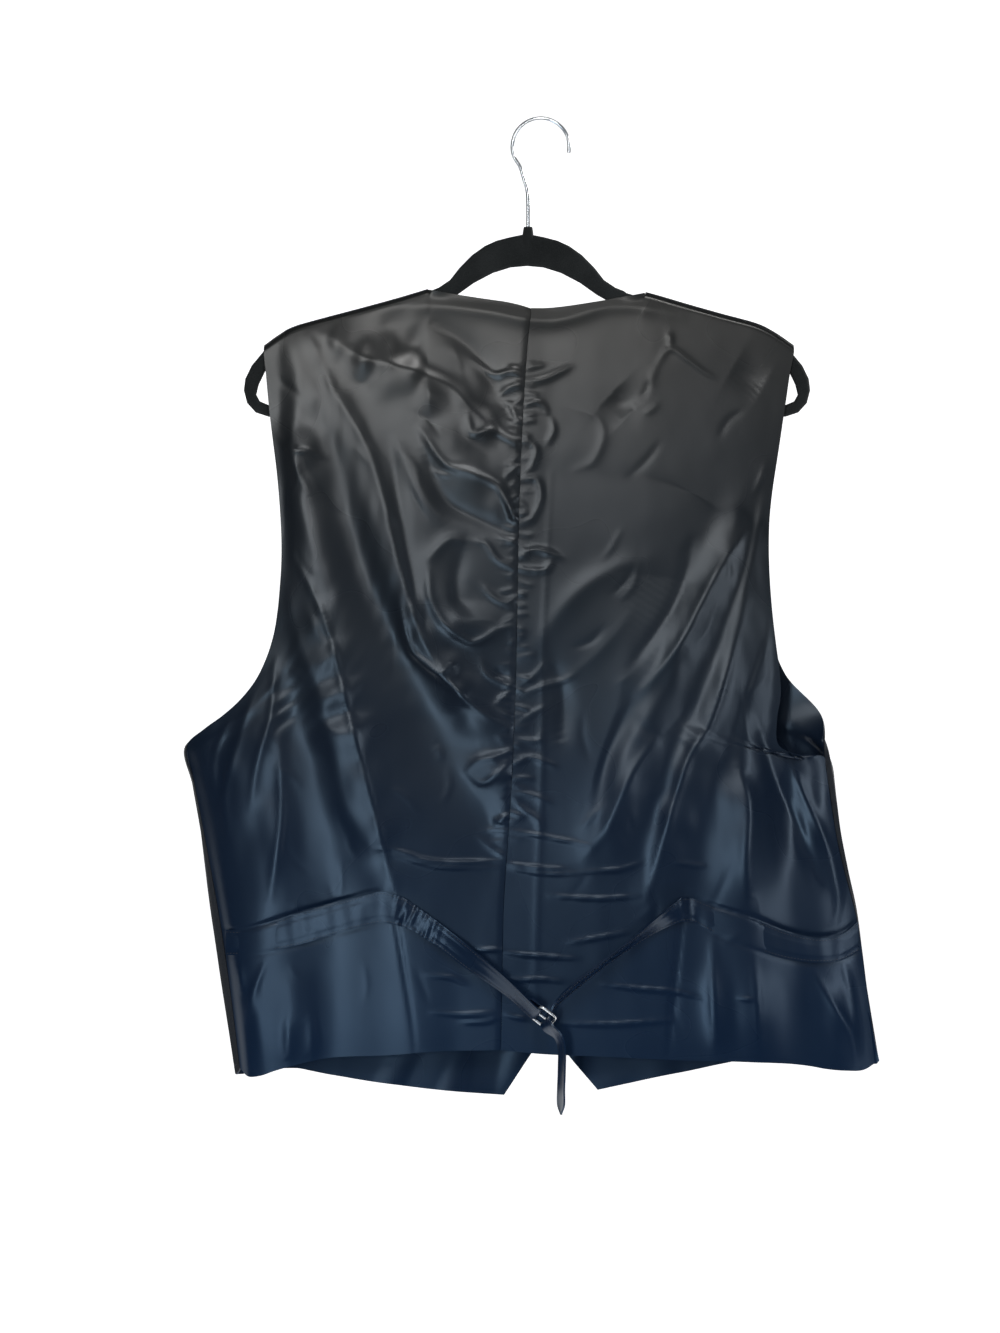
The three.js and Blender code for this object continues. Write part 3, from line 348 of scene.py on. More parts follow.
# A wall's outer points as rows and columns. Every cell has one diagonal, which ends at the first
# and last corner, so those two corners have three neighbours and the other two have two.
def wall_grid(node, wall):
    points, triangles = welded(node)
    faces = outer_face(points, triangles, wall)
    near = neighbours(faces)
    uses = {}
    for a, b, c in faces.tolist():
        for p, q in ((a, b), (b, c), (c, a)):
            uses[frozenset((p, q))] = uses.get(frozenset((p, q)), 0) + 1
    border = {}
    for pair, count in uses.items():
        if count == 1:
            p, q = pair
            border.setdefault(p, []).append(q)
            border.setdefault(q, []).append(p)
    first = max((k for k in border if len(near[k]) == 3), key=lambda k: points[k][2])

    def walk(start, step):
        line = [start, step]
        while len(near[line[-1]]) == 4:
            line.append(next(k for k in border[line[-1]] if k != line[-2]))
        return line

    sides = sorted((walk(first, k) for k in border[first]), key=lambda line: np.ptp(points[line][:, 2]))
    row, column = sides
    rows = [row]
    for start in column[1:]:
        line = [start]
        for i in range(1, len(row)):
            shared = (near[rows[-1][i]] & near[line[-1]]) - {rows[-1][i - 1]}
            line.append(next(iter(shared)))
        rows.append(line)
    return points[np.array(rows)]


# Smooth interpolation of points along an axis, with places measured along each line
def refine(grid, axis, step):
    moved = np.moveaxis(grid, axis, 0)
    lines = moved.reshape(len(moved), -1, moved.shape[-1])
    gaps = np.maximum(np.linalg.norm(np.diff(lines, axis=0), axis=-1), 1e-6)
    place = np.concatenate([np.zeros((1, gaps.shape[1])), np.cumsum(gaps, axis=0)])
    slope = np.empty_like(lines)
    slope[1:-1] = (lines[2:] - lines[:-2]) / (place[2:] - place[:-2])[..., None]
    slope[0] = (lines[1] - lines[0]) / gaps[0][:, None]
    slope[-1] = (lines[-1] - lines[-2]) / gaps[-1][:, None]
    count = max(2, round(place[-1].mean() / step) + 1)
    at = np.linspace(0, 1, count)[:, None] * place[-1]
    k = np.clip((place[None] <= at[:, None]).sum(axis=1) - 1, 0, len(gaps) - 1)

    def pick(values, index):
        return np.take_along_axis(values, index[..., None], axis=0)

    span = pick(gaps[..., None], k)
    f = (at[..., None] - pick(place[..., None], k)) / span
    start = pick(lines, k) * (1 + 2 * f) * (1 - f) ** 2
    end = pick(lines, k + 1) * f * f * (3 - 2 * f)
    bend = span * f * (1 - f) * (pick(slope, k) * (1 - f) - pick(slope, k + 1) * f)
    return np.moveaxis((start + end + bend).reshape((count,) + moved.shape[1:]), 0, axis)


def unit(v):
    return v / np.maximum(np.linalg.norm(v, axis=-1, keepdims=True), 1e-9)


# Unit normals of a grid of points, on the side that hint points to at each place
def grid_normals(grid, hint):
    normal = unit(np.cross(np.gradient(grid, axis=0), np.gradient(grid, axis=1)))
    flip = np.sign((normal * hint).sum(axis=-1).mean())
    return normal * flip


# How far along a line each of its points lies
def distances(line):
    return np.concatenate([[0], np.cumsum(np.linalg.norm(np.diff(line, axis=0), axis=1))])


# Three values for each point of a line, read at other distances
def read_at(at, place, values):
    return np.stack([np.interp(at, place, values[:, k]) for k in range(3)], -1)


# A cosine or sine drawn out so that a circle becomes a rounded oblong
def squared(value, power):
    return np.sign(value) * np.abs(value) ** power


# Evenly spaced points along a smooth line through a few places of so many numbers each
def smooth_line(numbers, size, step):
    line = np.reshape(np.array(numbers, float), (-1, size))
    return refine(line[:, None], 0, step)[:, 0]


# How far each place is from a line, and how far along it the nearest point is
def along_line(x, z, line):
    away = (x[..., None] - line[:, 0]) ** 2 + (z[..., None] - line[:, 1]) ** 2
    nearest = away.argmin(axis=-1)
    return np.sqrt(away.min(axis=-1)), nearest / (len(line) - 1)


# A crease with a rounded crest and long flanks that fades towards both ends
def crease_height(x, z, width, height, *places):
    line = smooth_line(places, 2, 2.0)
    margin = 5 * width
    lo, hi = line.min(axis=0) - margin, line.max(axis=0) + margin
    inside = (x > lo[0]) & (x < hi[0]) & (z > lo[1]) & (z < hi[1])
    out = np.zeros_like(x)
    away, along = along_line(x[inside], z[inside], line)
    crest = np.exp(1 - np.sqrt(1 + 3 * (away / width) ** 2))
    taper = np.sin(math.pi * (0.04 + 0.92 * along)) ** 0.8
    out[inside] = height * crest * taper
    return out


# Height between a half's lines of crests and hollows, flat on each line
def form_height(x, z, form):
    lines = []
    for places in form:
        line = smooth_line(places, 3, 6.0)
        line = line[np.argsort(line[:, 1])]
        lines.append((np.interp(z, line[:, 1], line[:, 0]), np.interp(z, line[:, 1], line[:, 2])))
    out = np.zeros_like(x)
    for (x0, h0), (x1, h1) in zip(lines, lines[1:]):
        part = (x <= x0) & (x > x1)
        f = smoothstep((x0 - x) / np.maximum(x0 - x1, 0.1), 0, 1)
        out = np.where(part, h0 + (h1 - h0) * f, out)
    return out


def relief(x, z, creases):
    return sum(crease_height(x, z, *crease) for crease in creases)


# Smooth uneven waves from a few seeded sines
def waves(x, z, size, seed):
    r = np.random.default_rng(seed)
    out = np.zeros_like(x)
    for turn, phase, scale in r.random((9, 3)):
        angle = 2 * math.pi * turn
        k = 2 * math.pi / (size * (0.6 + 0.9 * scale))
        out += np.sin(k * (x * math.cos(angle) + z * math.sin(angle)) + 2 * math.pi * phase)
    return out / 9


def smoothstep(value, low, high):
    f = np.clip((value - low) / (high - low), 0, 1)
    return f * f * (3 - 2 * f)


# Small puckers beside the centre-back seam: short ridges that leave it at a slant on one side
def seam_puckers(side, seam_x):
    r = np.random.default_rng(7 if side > 0 else 11)
    puckers = []
    z = PUCKER_TOP
    while z > PUCKER_BOTTOM:
        reach = r.uniform(6, 15)
        drop = r.uniform(-5, 7)
        x = seam_x(z)
        bend = z - drop * 0.6 - r.uniform(-1, 2)
        places = (x - side, z, x + side * reach * 0.5, bend, x + side * reach, z - drop)
        puckers.append((PUCKER_WIDTH, PUCKER_HEIGHT * r.uniform(0.4, 1.2), *places))
        z -= PUCKER_PITCH * r.uniform(0.6, 1.5)
    return puckers


# Faint short wrinkles scattered over a half, mostly along the way that it hangs
def small_wrinkles(side):
    r = np.random.default_rng(21 if side > 0 else 33)
    wrinkles = []
    for _ in range(SMALL_WRINKLES):
        x, z = side * r.uniform(25, 215), r.uniform(-720, -175)
        turn = math.radians(r.normal(62, 26))
        reach = r.uniform(7, 20)
        dx, dz = -side * math.cos(turn) * reach, -math.sin(turn) * reach
        bow = r.uniform(-0.25, 0.25)
        places = (x - dx, z - dz, x - bow * dz, z + bow * dx, x + dx, z + dz)
        wrinkles.append((r.uniform(1.6, 3.2), r.choice([-1, 1]) * r.uniform(0.15, 0.42), *places))
    return wrinkles


# A thin shell from its outer points: both faces and the rim between them
def shell_mesh(name, outer, normals, near, far):
    rows, columns = outer.shape[:2]
    layers = [outer - normals * near, outer - normals * far]
    points = np.concatenate([layer.reshape(-1, 3) for layer in layers]) * MM
    index = np.arange(rows * columns).reshape(rows, columns)
    deep = index + rows * columns
    a, b, c, d = index[:-1, :-1], index[1:, :-1], index[1:, 1:], index[:-1, 1:]
    front = np.stack([a, b, c, d], axis=-1).reshape(-1, 4)
    back = front[:, ::-1] + rows * columns
    loop = np.concatenate([index[0], index[1:, -1], index[-1, -2::-1], index[-2:0:-1, 0]])
    under = np.concatenate([deep[0], deep[1:, -1], deep[-1, -2::-1], deep[-2:0:-1, 0]])
    rim = np.stack([loop, np.roll(loop, -1), np.roll(under, -1), under], axis=-1)
    return quad_mesh(name, points, np.concatenate([front, back, rim]))


def quad_mesh(name, points, faces, sharp=60):
    mesh = bpy.data.meshes.new(name)
    mesh.vertices.add(len(points))
    mesh.vertices.foreach_set("co", np.ascontiguousarray(points, np.float32).ravel())
    mesh.loops.add(faces.size)
    mesh.loops.foreach_set("vertex_index", np.ascontiguousarray(faces, np.int32).ravel())
    mesh.polygons.add(len(faces))
    mesh.polygons.foreach_set("loop_start", np.arange(0, faces.size, faces.shape[1], dtype=np.int32))
    mesh.update(calc_edges=True)
    mesh.validate()
    mesh.shade_smooth()
    mesh.set_sharp_from_angle(angle=math.radians(sharp))
    if face_volume(points, faces) < 0:
        mesh.flip_normals()
    return mesh


def face_volume(points, faces):
    a, b, c = (points[faces[:, i]] for i in (0, 1, 2))
    total = (a * np.cross(b, c)).sum()
    if faces.shape[1] == 4:
        total += (a * np.cross(c, points[faces[:, 3]])).sum()
    return total


def add_piece(name, mesh, material, replaces=()):
    piece = bpy.data.objects.new(name, mesh)
    bpy.context.scene.collection.objects.link(piece)
    mesh.materials.append(material)
    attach(piece, BODY)
    for node in replaces:
        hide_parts(node)
    return piece


def new_material(name, roughness, metallic=0.0, colour=(0.5, 0.5, 0.5, 1)):
    material = bpy.data.materials.new(name)
    material.use_nodes = True
    shader = material.node_tree.nodes["Principled BSDF"]
    shader.inputs["Base Color"].default_value = colour
    shader.inputs["Roughness"].default_value = roughness
    shader.inputs["Metallic"].default_value = metallic
    return material, shader


def add_node(material, kind, **values):
    node = material.node_tree.nodes.new(kind)
    for key, value in values.items():
        if key in node.inputs:
            node.inputs[key].default_value = value
        else:
            setattr(node, key, value)
    return node


def link(material, output, target):
    material.node_tree.links.new(output, target)


# Object coordinates, stretched by a factor on each axis
def place_node(material, scale=(1, 1, 1)):
    coordinates = add_node(material, "ShaderNodeTexCoord")
    mapping = add_node(material, "ShaderNodeMapping")
    mapping.inputs["Scale"].default_value = scale
    link(material, coordinates.outputs["Object"], mapping.inputs["Vector"])
    return mapping.outputs["Vector"]


def noise(material, place, scale, detail=3.0):
    node = add_node(material, "ShaderNodeTexNoise", Scale=scale, Detail=detail)
    link(material, place, node.inputs["Vector"])
    return node.outputs["Fac"]


def ramp(material, value, stops):
    node = add_node(material, "ShaderNodeValToRGB")
    while len(node.color_ramp.elements) < len(stops):
        node.color_ramp.elements.new(0.5)
    for element, (position, colour) in zip(node.color_ramp.elements, stops):
        element.position = position
        element.color = (*colour, 1)
    link(material, value, node.inputs["Fac"])
    return node.outputs["Color"]


def mapped(material, value, low, high, to_low=0.0, to_high=1.0):
    node = add_node(material, "ShaderNodeMapRange")
    for key, number in zip(("From Min", "From Max", "To Min", "To Max"), (low, high, to_low, to_high)):
        node.inputs[key].default_value = number
    link(material, value, node.inputs["Value"])
    return node.outputs["Result"]


def sum_node(material, a, b):
    node = add_node(material, "ShaderNodeMath", operation="ADD")
    link(material, a, node.inputs[0])
    link(material, b, node.inputs[1])
    return node.outputs[0]


def coloured(material, shader, value, stops):
    link(material, ramp(material, value, stops), shader.inputs["Base Color"])


def bump(material, shader, height, strength, distance):
    node = add_node(material, "ShaderNodeBump", Strength=strength, Distance=distance)
    link(material, height, node.inputs["Height"])
    link(material, node.outputs["Normal"], shader.inputs["Normal"])


# Satin, its colour changed with height as painted light: charcoal at the shoulders, slate in the middle and
# navy at the hem, standing in for warmer light above and cooler light below
SATIN_PAINTED_LIGHT_STOPS = [
    (0.0, (0.0040, 0.0150, 0.0420)),
    (0.35, (0.0055, 0.0130, 0.0300)),
    (0.62, (0.0095, 0.0130, 0.0185)),
    (1.0, (0.0160, 0.0160, 0.0150)),
]
# Painted light in the tint of its gloss, over the same heights: bluer reflections towards the hem and warmer
# ones at the shoulders
PAINTED_GLOSS_TINT_STOPS = [
    (0.0, (0.62, 0.80, 1.0)),
    (0.45, (0.78, 0.89, 1.0)),
    (1.0, (1.0, 0.98, 0.95)),
]
# Heights in metres over which the satin's painted light changes
SATIN_BOTTOM = -0.77
SATIN_TOP = -0.15
SUITING_STOPS = [(0.2, (0.005, 0.006, 0.008)), (0.9, (0.024, 0.027, 0.034))]
VELVET_STOPS = [(0.1, (0.010, 0.011, 0.011)), (0.9, (0.034, 0.036, 0.036))]
BUTTON_STOPS = [(0.3, (0.008, 0.009, 0.011)), (0.6, (0.022, 0.023, 0.027)), (0.8, (0.05, 0.05, 0.055))]
THREAD_STOPS = [(0.0, (0.010, 0.013, 0.022)), (1.0, (0.030, 0.036, 0.052))]
PAPER_STOPS = [(0.0, (0.86, 0.86, 0.86)), (1.0, (0.90, 0.90, 0.90))]
# A little less than full metal, as if the pale room showed in it
METALLIC = 0.8


def satin_material(name):
    material, shader = new_material(name, 0.36)
    place = place_node(material)
    height = add_node(material, "ShaderNodeSeparateXYZ")
    link(material, place, height.inputs[0])
    patchy = mapped(material, noise(material, place, 9.0, 2.0), 0.3, 0.7, -0.04, 0.04)
    # Painted light: the base colour follows the height, standing in for warmer light above and cooler light
    # below; the patchy noise is the cloth's own uneven tone
    level = mapped(material, height.outputs["Z"], SATIN_BOTTOM, SATIN_TOP)
    coloured(material, shader, sum_node(material, level, patchy), SATIN_PAINTED_LIGHT_STOPS)
    # Painted reflection colour: the gloss tint follows the height, bluer low down and warmer high up
    link(material, ramp(material, level, PAINTED_GLOSS_TINT_STOPS), shader.inputs["Specular Tint"])
    shader.inputs["Specular IOR Level"].default_value = 0.5
    shader.inputs["Anisotropic"].default_value = 0.35
    rough = mapped(material, noise(material, place, 14.0, 1.0), 0.3, 0.7, 0.26, 0.31)
    link(material, rough, shader.inputs["Roughness"])
    floats = noise(material, place_node(material, (0.45, 0.45, 1.6)), 420.0, 1.0)
    bump(material, shader, floats, 0.012, 0.0003)
    return material


def suiting_material():
    material, shader = new_material("suiting", 0.85)
    place = place_node(material)
    turned = add_node(material, "ShaderNodeMapping")
    turned.inputs["Rotation"].default_value = (0, math.radians(32), 0)
    link(material, place, turned.inputs["Vector"])
    twill = add_node(material, "ShaderNodeTexWave", Scale=430.0, Distortion=1.2, bands_direction="X")
    link(material, turned.outputs["Vector"], twill.inputs["Vector"])
    fuzz = noise(material, place, 900.0, 4.0)
    shade = sum_node(material, mapped(material, twill.outputs["Fac"], 0, 1, 0, 0.6), fuzz)
    coloured(material, shader, shade, SUITING_STOPS)
    shader.inputs["Specular IOR Level"].default_value = 0.25
    shader.inputs["Sheen Weight"].default_value = 0.05
    shader.inputs["Sheen Roughness"].default_value = 0.5
    bump(material, shader, shade, 0.35, 0.0006)
    return material


def velvet_material():
    material, shader = new_material("velvet", 0.95)
    place = place_node(material)
    pile = noise(material, place, 1500.0, 3.0)
    worn = mapped(material, noise(material, place, 24.0, 2.0), 0.3, 0.7, 0, 0.5)
    shade = sum_node(material, mapped(material, pile, 0.2, 0.8, 0, 0.5), worn)
    coloured(material, shader, shade, VELVET_STOPS)
    shader.inputs["Specular IOR Level"].default_value = 0.1
    shader.inputs["Sheen Weight"].default_value = 0.35
    shader.inputs["Sheen Roughness"].default_value = 0.35
    bump(material, shader, pile, 0.5, 0.0005)
    return material


def metal_material(name, colour, low, high):
    material, shader = new_material(name, 0.2, METALLIC, colour)
    place = place_node(material)
    scratches = noise(material, place_node(material, (1, 1, 9)), 300.0, 3.0)
    rough = mapped(material, noise(material, place, 90.0, 3.0), 0.3, 0.7, low, high)
    link(material, rough, shader.inputs["Roughness"])
    bump(material, shader, scratches, 0.05, 0.0002)
    return material


def button_material():
    material, shader = new_material("button", 0.32)
    place = place_node(material)
    swirl = noise(material, place_node(material, (1, 1, 2.5)), 110.0, 5.0)
    coloured(material, shader, swirl, BUTTON_STOPS)
    shader.inputs["Coat Weight"].default_value = 0.3
    shader.inputs["Coat Roughness"].default_value = 0.2
    bump(material, shader, noise(material, place, 700.0, 2.0), 0.08, 0.0003)
    return material


def thread_material():
    material, shader = new_material("thread", 0.6)
    place = place_node(material)
    twist = add_node(material, "ShaderNodeTexWave", Scale=900.0, Distortion=0.5, bands_direction="DIAGONAL")
    link(material, place, twist.inputs["Vector"])
    coloured(material, shader, twist.outputs["Fac"], THREAD_STOPS)
    shader.inputs["Sheen Weight"].default_value = 0.2
    bump(material, shader, twist.outputs["Fac"], 0.4, 0.0002)
    return material


SATIN = satin_material("satin")
SUITING = suiting_material()
VELVET = velvet_material()
CHROME = metal_material("hook_metal", (0.82, 0.83, 0.85, 1), 0.08, 0.16)
NICKEL = metal_material("buckle_metal", (0.92, 0.93, 0.94, 1), 0.22, 0.34)
HORN = button_material()
THREAD = thread_material()


# A back strap: sewn down at the side, free and wrinkled towards the buckle. The free part of the
# right one is pulled taut and rolls outwards.
def strap_piece(name, roll):
    coarse = wall_grid(name, STRAP_WALL)
    if len(coarse) < coarse.shape[1]:
        coarse = coarse.transpose(1, 0, 2)
    grid = refine(refine(coarse, 0, STRAP_STEP), 1, STRAP_STEP)
    if grid[:, 0, 2].mean() < grid[:, -1, 2].mean():
        grid = grid[:, ::-1]
    normals = grid_normals(grid, AWAY)
    across = np.broadcast_to(np.linspace(0, 1, grid.shape[1]), grid.shape[:2])
    x, z = grid[..., 0], grid[..., 2]
    away = np.abs(x)
    free = smoothstep(SEWN_FROM - away, 0, 8) * smoothstep(away, 8, 24) * (z > TAIL_TOP)
    height = STRAP_CROWN * (1 - (2 * across - 1) ** 4)
    height -= STRAP_GROOVE * np.exp(-((np.abs(across - 0.5) - 0.34) / 0.05) ** 2)
    height += STRAP_PUCKER * waves(x, z * 0.4, 17, 8) * smoothstep(away, SEWN_FROM, SEWN_FROM + 6)
    slant = STRAP_WRINKLE * waves(x + 0.7 * z, (z - x) * 0.25, 9, 9)
    height += slant * smoothstep(SEWN_FROM - away, 0, 5) * smoothstep(away, 62, 100) * (1 - roll)
    height += roll * free * (STRAP_ROLL - STRAP_ROLL_DROP * across)
    grid = grid + height[..., None] * normals
    normals = grid_normals(grid, AWAY)
    mesh = shell_mesh(name, grid, normals, 0, STRAP_WALL)
    return Cloth(add_piece(name + "_satin", mesh, SATIN, [name]), grid, normals)


LEFT_STRAP = strap_piece("strap_left", 0.0)
RIGHT_STRAP = strap_piece("strap_right", 1.0)


# The line beside the sewn part of a strap's edge, a little way off it
def beside_strap(grid, upper, off):
    first, last = grid[:, 0], grid[:, -1]
    edge = first if (first[:, 2].mean() > last[:, 2].mean()) == upper else last
    part = edge[np.abs(edge[:, 0]) > SEWN_FROM][::10]
    return (part[:, [0, 2]] + [0, off if upper else -off]).ravel()


# One half of the back: the solid's own hang, and the relief that the photograph shows on it
def back_piece(name, form, creases, dart, strap):
    coarse = wall_grid(name, BACK_WALL)
    seam = coarse[:, 0]
    order = np.argsort(seam[:, 2])
    side = 1 if coarse[:, -1, 0].mean() > seam[:, 0].mean() else -1

    def seam_x(z):
        return np.interp(z, seam[order, 2], seam[order, 0])

    grid = refine(refine(coarse, 0, BACK_ROW_STEP), 1, BACK_COLUMN_STEP)
    x, z = grid[..., 0], grid[..., 2]
    from_seam = np.abs(x - seam_x(z))
    from_side = np.arange(grid.shape[1])[::-1] * BACK_COLUMN_STEP
    calm = smoothstep(from_side, 0, 14) * smoothstep(-z, 130, 150)
    height = relief(x, z, creases + [NECK_FACING] + small_wrinkles(side))
    height += relief(x, z, seam_puckers(side, seam_x))
    height += BROAD_WAVE * waves(x, z, 60, 3) + FINE_WAVE * waves(x, z, 21, 4)
    height += form_height(x, z, form)
    height *= calm
    height += PACKING_DEPTH * relief(x, z, PACKING_CREASES)
    # The left half dips to the seam, and on the right its allowance shows
    if side > 0:
        height -= SEAM_GROOVE_DEPTH * np.exp(-(from_seam / SEAM_GROOVE_WIDTH) ** 2)
    else:
        height += crease_height(x, z, *ALLOWANCE_RISE, *ALLOWANCE_RIDGE)
    # The strap is sewn down, and the satin dips beside it
    for upper, off, width, depth in STRAP_DIPS:
        height -= crease_height(x, z, width, depth, *beside_strap(strap, upper, off))
    height -= crease_height(x, z, *DART_GROOVE, *dart)
    grid = grid + height[..., None] * grid_normals(grid, AWAY)
    normals = grid_normals(grid, AWAY)
    mesh = shell_mesh(name, grid, normals, 0, BACK_WALL)
    return Cloth(add_piece(name + "_satin", mesh, SATIN, [name]), grid, normals)


LEFT_BACK = back_piece(
    "back_left", LEFT_FORM, LEFT_CREASES + LEFT_LOOPS, DARTS[0], LEFT_STRAP.grid
)
RIGHT_BACK = back_piece(
    "back_right", RIGHT_FORM, RIGHT_CREASES + RIGHT_LOOPS, DARTS[1], RIGHT_STRAP.grid
)


# Allowance of the centre-back seam, pressed to one side behind both halves
def allowance_piece():
    behind = BACK_WALL + 0.1
    near_left = LEFT_BACK.grid[:, 2::-1] - LEFT_BACK.normals[:, 2::-1] * behind
    near_right = RIGHT_BACK.grid[:, :12] - RIGHT_BACK.normals[:, :12] * behind
    rows = min(len(near_left), len(near_right))
    halves = []
    for half in (near_left, near_right):
        halves.append(half[np.round(np.linspace(0, len(half) - 1, rows // 2)).astype(int)])
    grid = np.concatenate(halves, axis=1)
    mesh = shell_mesh("seam_allowance", grid, grid_normals(grid, AWAY), 0, ALLOWANCE_WALL)
    add_piece("seam_allowance", mesh, SATIN)


allowance_piece()


# A front and its lining, which share one surface as in the solids
def front_piece(name):
    grid = refine(refine(wall_grid(name, FRONT_WALL), 0, FRONT_ROW_STEP), 1, FRONT_COLUMN_STEP)
    hint = grid * [0.02, 1.0, 0]
    normals = grid_normals(grid, hint)
    x, z = grid[..., 0], grid[..., 2]
    towards = smoothstep(-normals[..., 1], 0.3, 0.8)
    height = FRONT_RELIEF * relief(x, z, FRONT_CREASES) + FRONT_WAVE * waves(x, z, 90, 5)
    height *= towards * smoothstep(-z, 140, 170)
    from_edge = np.minimum(np.arange(grid.shape[1]) * FRONT_COLUMN_STEP, 40)
    height *= smoothstep(from_edge, 2, 30)
    grid = grid + height[..., None] * normals
    normals = grid_normals(grid, hint)
    mesh = shell_mesh(name, grid, normals, 0, FRONT_WALL)
    cloth = add_piece(name + "_suiting", mesh, SUITING, [name])
    near = FRONT_WALL + LAYER_GAP
    inside = LINING_FOLD * waves(x + 0.3 * z, z * 0.3, 34, 12) * smoothstep(-z, 560, 640)
    near = near + np.clip(inside, 0, None)[..., None]
    mesh = shell_mesh(name + "_lining", grid, normals, near, near + LINING_WALL)
    lining = add_piece(name + "_lining_satin", mesh, SATIN, [name + "_lining"])
    return Cloth(cloth, grid, normals), lining


LEFT_FRONT, LEFT_LINING = front_piece("front_left")
RIGHT_FRONT, RIGHT_LINING = front_piece("front_right")


# A smooth copy of a CAD node
def smooth_copy(node, name, material):
    points, triangles = welded(node)
    add_piece(name, quad_mesh(name, points * MM, triangles, 40), material, [node])


smooth_copy("hanger", "hanger_velvet", VELVET)
smooth_copy("hanger_hook", "hook_wire", CHROME)


# Round wire along a closed or open path
def tube_mesh(name, path, radius, closed, sides=12):
    path = np.array(path, float)
    if closed:
        tangent = unit(np.roll(path, -1, axis=0) - np.roll(path, 1, axis=0))
    else:
        tangent = unit(np.gradient(path, axis=0))
    across = unit(np.cross(tangent, AWAY))
    lift = np.cross(across, tangent)
    angle = np.linspace(0, 2 * math.pi, sides, endpoint=False)[None, :, None]
    ring = across[:, None] * np.cos(angle) + lift[:, None] * np.sin(angle)
    points = (path[:, None] + radius * ring).reshape(-1, 3) * MM
    index = np.arange(len(points)).reshape(len(path), sides)
    here = index if closed else index[:-1]
    there = np.roll(index, -1, axis=0) if closed else index[1:]
    faces = [np.stack([here, np.roll(here, -1, 1), np.roll(there, -1, 1), there], -1).reshape(-1, 4)]
    if not closed:
        for end in (index[0], index[-1][::-1]):
            faces.append(np.array([[end[0], end[i], end[i + 1], end[i + 2]] for i in range(1, sides - 2, 2)]))
    return quad_mesh(name, points, np.concatenate(faces))


# Middle of a small CAD node, its own axes from longest to shortest, and its half sizes
def own_frame(node):
    points, _ = welded(node)
    low, high = points.min(axis=0), points.max(axis=0)
    spread = points - (low + high) / 2
    axes = np.linalg.eigh(spread.T @ spread)[1].T[::-1]
    along = points @ axes.T
    middle = (along.min(axis=0) + along.max(axis=0)) / 2
    return middle @ axes, axes, np.ptp(along, axis=0) / 2


# One mesh from several in the same material
def joined(name, parts):
    mesh = bpy.data.meshes.new(name)
    points, faces, first = [], [], 0
    for part in parts:
        points += [tuple(v.co) for v in part.vertices]
        faces += [[first + k for k in p.vertices] for p in part.polygons]
        first += len(part.vertices)
    mesh.from_pydata(points, [], faces)
    mesh.shade_smooth()
    mesh.set_sharp_from_angle(angle=math.radians(60))
    return mesh


# Slide buckle: a rounded oblong ring of wire with a bar across its middle
def buckle_piece():
    centre, axes, half = own_frame("buckle")
    wire = BUCKLE_WIRE
    long, short = half[0] - wire, half[1] - wire
    angle = np.linspace(0, 2 * math.pi, 64, endpoint=False)
    square = 0.28
    u = squared(np.cos(angle), square) * long
    v = squared(np.sin(angle), square) * short
    ring = centre + u[:, None] * axes[0] + v[:, None] * axes[1]
    across = np.linspace(-short, short, 9)
    bar = centre + across[:, None] * axes[1]
    parts = [tube_mesh("ring", ring, wire, True), tube_mesh("bar", bar, wire * 0.85, False)]
    add_piece("slide_buckle", joined("slide_buckle", parts), NICKEL, ["buckle"])


buckle_piece()


# A four-hole button: rolled rim, dished face, and holes sunk in it
def button_piece(node, name):
    centre, axes, half = own_frame(node)
    out = axes[2] * np.sign(-axes[2][1])
    radius, thick = (half[0] + half[1]) / 2, half[2]
    rings, sides = 30, 72
    r = np.linspace(0, 1, rings)[1:]
    angle = np.linspace(0, 2 * math.pi, sides, endpoint=False)
    u, v = r[:, None] * np.cos(angle), r[:, None] * np.sin(angle)
    face = 0.62 + 0.38 * np.exp(-((r - 0.84) / 0.12) ** 2) - 0.10 * np.exp(-((r / 0.62) ** 6))
    edge = np.clip((r - 0.90) / 0.10, 0, 1)
    face = face * np.sqrt(np.maximum(1 - edge ** 2, 0.0))
    top = np.broadcast_to(face[:, None], u.shape).copy()
    for a in HOLE_PLACES:
        for b in HOLE_PLACES:
            top -= HOLE_DEPTH * np.exp(-(((u - a) ** 2 + (v - b) ** 2) / HOLE_RADIUS ** 2) ** 2)
    first = np.array([[0.0, 0.0, top[0].mean()]])
    upper = np.stack([u, v, top], -1).reshape(-1, 3)
    lower = np.stack([u[-1] * 0.97, v[-1] * 0.97, np.full(sides, -1.0)], -1)
    last = np.array([[0.0, 0.0, -1.0]])
    local = np.concatenate([first, upper, lower, last]) * [radius, radius, thick]
    points = centre + local[:, :1] * axes[0] + local[:, 1:2] * axes[1] + local[:, 2:] * out
    count = 1 + len(upper)
    turn = np.arange(sides)
    after = (turn + 1) % sides
    faces = [(0, 1 + k, 1 + after[k]) for k in turn]
    for i in range(rings - 2):
        a, b = 1 + i * sides, 1 + (i + 1) * sides
        faces += [(a + k, b + k, b + after[k], a + after[k]) for k in turn]
    a = count - sides
    faces += [(a + k, count + k, count + after[k], a + after[k]) for k in turn]
    faces += [(count + k, count + sides, count + after[k]) for k in turn]
    mesh = bpy.data.meshes.new(name)
    mesh.from_pydata((points * MM).tolist(), [], [[int(k) for k in f] for f in faces])
    mesh.shade_smooth()
    mesh.set_sharp_from_angle(angle=math.radians(50))
    if np.linalg.det(np.stack([axes[0], axes[1], out])) < 0:
        mesh.flip_normals()
    add_piece(name, mesh, HORN, [node])
    threads = []
    for a in HOLE_PLACES:
        run = np.linspace(-1, 1, 9)
        rise = 0.72 - 0.75 * run ** 6
        path = centre + (a * radius) * axes[0] + (run * HOLE_PLACES[1] * radius)[:, None] * axes[1]
        threads.append(tube_mesh("thread", path + (rise * thick)[:, None] * out, THREAD_RADIUS, False, 8))
    add_piece(name + "_thread", joined(name + "_thread", threads), THREAD)


for number in range(1, 6):
    button_piece(f"button_{number}", f"horn_button_{number}")


